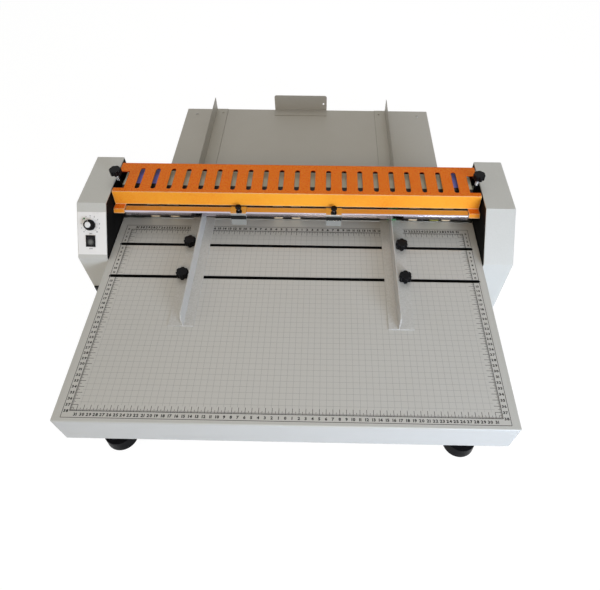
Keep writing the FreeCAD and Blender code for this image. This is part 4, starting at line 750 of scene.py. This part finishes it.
for line in range(1, GRID_DEEP_LINES + 1):
    line_depth = GRID_START_Y - line * GRID_PITCH_Y
    if clear_of_slots(line_depth):
        line_x(grid_print, (-RULER_X + TICK_LENGTH, RULER_X - TICK_LENGTH), line_depth, GRID)
for centimetre in range(-LAST_ACROSS, LAST_ACROSS + 1):
    for y, height in ((RULER_FRONT - NUMBER_OFF, FRONT_NUMBER), (RULER_BACK + NUMBER_OFF, BACK_NUMBER)):
        write(scale_print, str(abs(centimetre)), (centimetre * 10, y), height, PRINT_Z, stretch=1.08)
for centimetre in range(LAST_DEEP + 1):
    if clear_of_slots(-centimetre * 10, 2.0):
        for edge in (-1, 1):
            write(scale_print, str(centimetre), (edge * (RULER_X + SIDE_NUMBER_OFF), -centimetre * 10),
                  SIDE_NUMBER, PRINT_Z)
scale_print.build("table_scales", "ink", "machine")
grid_print.build("table_grid", "grid_ink", "machine")


# ---------------------------------------------------------------- control panel

PANEL_ANGLE = math.radians(43)
DIAL = (-373.4, -40.3)                                  # middle of the dial, on the sloping panel
SWITCH = (-373.3, -69.3)
LABEL_TOP = 0.8
INK_Z = (LABEL_TOP - 0.02, LABEL_TOP + 0.03)
DIAL_STEPS, DIAL_START, DIAL_SWEEP = 10, 225, 270       # degrees, clockwise from the start
MARK_FROM, NUMBERS_AT = 12.3, 17.0                      # radii round the dial
DIAL_NUMBER, SWITCH_TEXT, SWITCH_TEXT_OFF = 2.3, 2.0, 13.6
DIAL_FACE = LABEL_TOP + 1.3 + 10.0                      # the knob's gap and its height
CAP_PROFILE = [(0.01, -0.6), (5.2, -0.6), (5.4, 0.1), (5.1, 0.55), (4.4, 0.8), (0.01, 0.95)]
START_MARK_X, START_MARK_Y = (-12.6, -9.6), (10.2, 13.0)        # from the dial's middle
POINTER_X, POINTER_Y, POINTER_Z = (-0.3, 0.3), (5.6, 8.2), (DIAL_FACE - 0.4, DIAL_FACE + 0.12)
panel_place = Matrix.Translation(own_point(0, -8, 73)) @ Matrix.Rotation(PANEL_ANGLE, 4, "X")
dial_place = Matrix.Translation((*DIAL, 0))

panel_print = Batch(panel_place)
for step in range(DIAL_STEPS + 1):
    angle = math.radians(DIAL_START - step * DIAL_SWEEP / DIAL_STEPS)
    turn = dial_place @ Matrix.Rotation(angle, 4, "Z")
    mark_to, half = (14.6, 0.28) if step % 5 == 0 else (13.9, 0.18)
    panel_print.block((MARK_FROM, mark_to), (-half, half), INK_Z, turn)
    place = (DIAL[0] + NUMBERS_AT * math.cos(angle), DIAL[1] + NUMBERS_AT * math.sin(angle))
    write(panel_print, str(step), place, DIAL_NUMBER, INK_Z)
write(panel_print, "ON", (SWITCH[0], SWITCH[1] + SWITCH_TEXT_OFF), SWITCH_TEXT, INK_Z)
write(panel_print, "OFF", (SWITCH[0], SWITCH[1] - SWITCH_TEXT_OFF), SWITCH_TEXT, INK_Z)
panel_print.build("panel_marks", "panel_ink", "machine")
start_mark = Batch(panel_place)
start_mark.block(START_MARK_X, START_MARK_Y, INK_Z, dial_place)
start_mark.build("dial_start_mark", "green_ink", "machine")

cap = Batch(panel_place)
cap.lathe(CAP_PROFILE, (*DIAL, DIAL_FACE))
cap.build("dial_cap", "white_plastic", "dial", smooth=True)
pointer = Batch(panel_place)
pointer.block(POINTER_X, POINTER_Y, POINTER_Z, dial_place)
pointer.build("dial_pointer", "white_plastic", "dial")


# ---------------------------------------------------------------- foam

PINCH, WOBBLE = 0.045, 0.02             # shares of a block's least side
WOBBLE_WAVES = (7.1, 3.3, 5.7)          # radians from one cell to the next
PAD_CELLS, EJECTOR_CELLS = (9, 6, 16), (90, 4, 5)
PAD_FOAMS = ("beige_foam", "beige_foam", "beige_foam", "beige_foam", "green_foam", "beige_foam", "olive_foam",
             "beige_foam")


def foam_block(name, low, high, finish, body, node, cells):
    """A foam block with pinched corners and slightly uneven sides, kept inside its corners."""
    size = [high[k] - low[k] for k in range(3)]
    index = {}
    points = []
    faces = []

    def corner(step):
        """The number of the point at a cell corner, which is added if it is new."""
        if step not in index:
            share = [step[k] / cells[k] * 2 - 1 for k in range(3)]
            wave = sum(turn * count for turn, count in zip(WOBBLE_WAVES, step))
            point = []
            for k in range(3):
                others = [abs(share[j]) for j in range(3) if j != k]
                pinch = PINCH * (others[0] ** 4 + others[1] ** 4) * min(size) / size[k] * 2
                wobble = WOBBLE * min(size) / size[k] * math.sin(wave + k)
                point.append(low[k] + size[k] * (0.5 + 0.5 * share[k] * (1 - pinch - abs(wobble))))
            index[step] = len(points)
            points.append(tuple(point))
        return index[step]

    for k in range(3):
        a, b = [j for j in range(3) if j != k]
        for side in (0, cells[k]):
            for i in range(cells[a]):
                for j in range(cells[b]):
                    face = []
                    for da, db in ((0, 0), (1, 0), (1, 1), (0, 1)):
                        step = [0, 0, 0]
                        step[k], step[a], step[b] = side, i + da, j + db
                        face.append(corner(tuple(step)))
                    faces.append(tuple(face))
    batch = Batch()
    batch.add(points, faces)
    piece = batch.build(name, finish, body)
    smooth_outwards(piece)
    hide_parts(node)


def smooth_outwards(piece):
    """Turn every face outwards and shade it smoothly."""
    work = bmesh.new()
    work.from_mesh(piece.data)
    bmesh.ops.recalc_face_normals(work, faces=work.faces)
    for face in work.faces:
        face.smooth = True
    work.to_mesh(piece.data)
    work.free()


for number, (low, high) in enumerate(islands("sheet_pads"), 1):
    foam_block(f"sheet_pad_{number}", low, high, PAD_FOAMS[number - 1], "machine", "sheet_pads", PAD_CELLS)
for number, (low, high) in enumerate(islands("ejector_pads"), 1):
    foam_block(f"ejector_foam_{number}", low, high, "grey_foam", "beam", "ejector_pads", EJECTOR_CELLS)


# ---------------------------------------------------------------- studs, strips and shoulders

THREAD_PITCH, THREAD_HALF_DEPTH, THREAD_STEPS = 0.7, 0.12, 32
DEPTH_RADIUS, DEPTH_BOTTOM, DEPTH_TOP = 3.1, 73.0, 85.0         # up to the knob's seat
THUMB_RADIUS, THUMB_BOTTOM, THUMB_TOP = 2.2, 48.3, 51.3         # from the hold-down up to the screw's head


def threaded_stud(name, node, body, finish, radius, bottom, top):
    """The bright thread that shows under a knob, about the knob's own axis."""
    low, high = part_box(node)
    centre = ((low[0] + high[0]) / 2 / MM, (low[1] + high[1]) / 2 / MM - ORIGIN_Y, 0)
    root, crest = radius - THREAD_HALF_DEPTH, radius + THREAD_HALF_DEPTH
    profile = [(root, bottom)]
    for turn in range(int((top - bottom) / THREAD_PITCH)):
        profile += [(crest, bottom + (turn + 0.5) * THREAD_PITCH), (root, bottom + (turn + 1) * THREAD_PITCH)]
    stud = Batch(table_place)
    stud.lathe(profile, centre, THREAD_STEPS)
    stud.build(name, finish, body, smooth=True)


for side in ("left", "right"):
    threaded_stud(f"{side}_depth_stud", f"{side}_depth_knob", f"{side}_depth_screw", "steel_z",
                  DEPTH_RADIUS, DEPTH_BOTTOM, DEPTH_TOP)
for side in ("left", "right"):
    threaded_stud(f"{side}_thumb_stud", f"{side}_thumb_screw", f"{side}_thumb", "dark_steel",
                  THUMB_RADIUS, THUMB_BOTTOM, THUMB_TOP)

# a black strip on each hold-down's web, which makes the recess under its plate dark
STRIP_HALF, STRIP_Y, STRIP_Z = 14.2, (-4.2, -2.1), (34.8, 41.0)
for side, hold_x in (("left", -107.5), ("right", 70.5)):
    strip = Batch(table_place)
    strip.block((hold_x - STRIP_HALF, hold_x + STRIP_HALF), STRIP_Y, STRIP_Z)
    strip.build(f"{side}_hold_strip", "hold_strip_black", f"{side}_hold")

# the beam's top reaches a little further out than its CAD solid, as seen through the cover's end notches
SHOULDER_FROM, SHOULDER_TO, SHOULDER_Y, SHOULDER_Z = 325.1, 333.2, (48.4, 99.6), (46.0, 61.9)
for side, sign in (("left", -1), ("right", 1)):
    shoulder = Batch(table_place)
    shoulder.block(sorted((sign * SHOULDER_FROM, sign * SHOULDER_TO)), SHOULDER_Y, SHOULDER_Z)
    shoulder.build(f"{side}_beam_shoulder", "satin_beam", "beam")


# ---------------------------------------------------------------- screws

HEAD_HEIGHT, SOCKET_FLOOR, SOCKET_REACH, HEAD_STEPS = 2.2, 0.9, 1.25, 48
HEAD_PROFILE = [(4.0, 0.0), (4.0, 0.35), (3.75, 1.0), (3.3, 1.6), (2.7, 2.0), (2.0, HEAD_HEIGHT)]


def hexagon(angle):
    """How far the socket's sides are from its middle at an angle."""
    return SOCKET_REACH / math.cos((angle % (math.pi / 3)) - math.pi / 6)


def button_head(batch, place):
    """A domed head with a hexagonal socket, its underside at the origin and its axis along +Z."""
    rows = HEAD_PROFILE + [(hexagon, HEAD_HEIGHT), (hexagon, SOCKET_FLOOR)]
    points = [point for reach, height in rows for point in ring(reach, height, HEAD_STEPS)]
    batch.add(points, ring_faces(len(rows), HEAD_STEPS), place)


screws = Batch()
for low, high in islands("button_screws"):
    size = high - low
    middle = (low + high) / 2
    upright = size.z > size.x - 0.5 and abs(size.x - size.y) < 0.2      # a tray screw; the rest lie along X
    if upright:
        place = Matrix.Translation((middle.x, middle.y, high.z - HEAD_HEIGHT))
    else:
        side = 1 if middle.x > 0 else -1
        seat = high.x - HEAD_HEIGHT if side > 0 else low.x + HEAD_HEIGHT
        place = Matrix.Translation((seat, middle.y, middle.z)) @ Matrix.Rotation(side * math.pi / 2, 4, "Y")
    button_head(screws, place)
screw_heads = screws.build("screw_heads", "screw_steel", "machine", smooth=True)
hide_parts("button_screws")
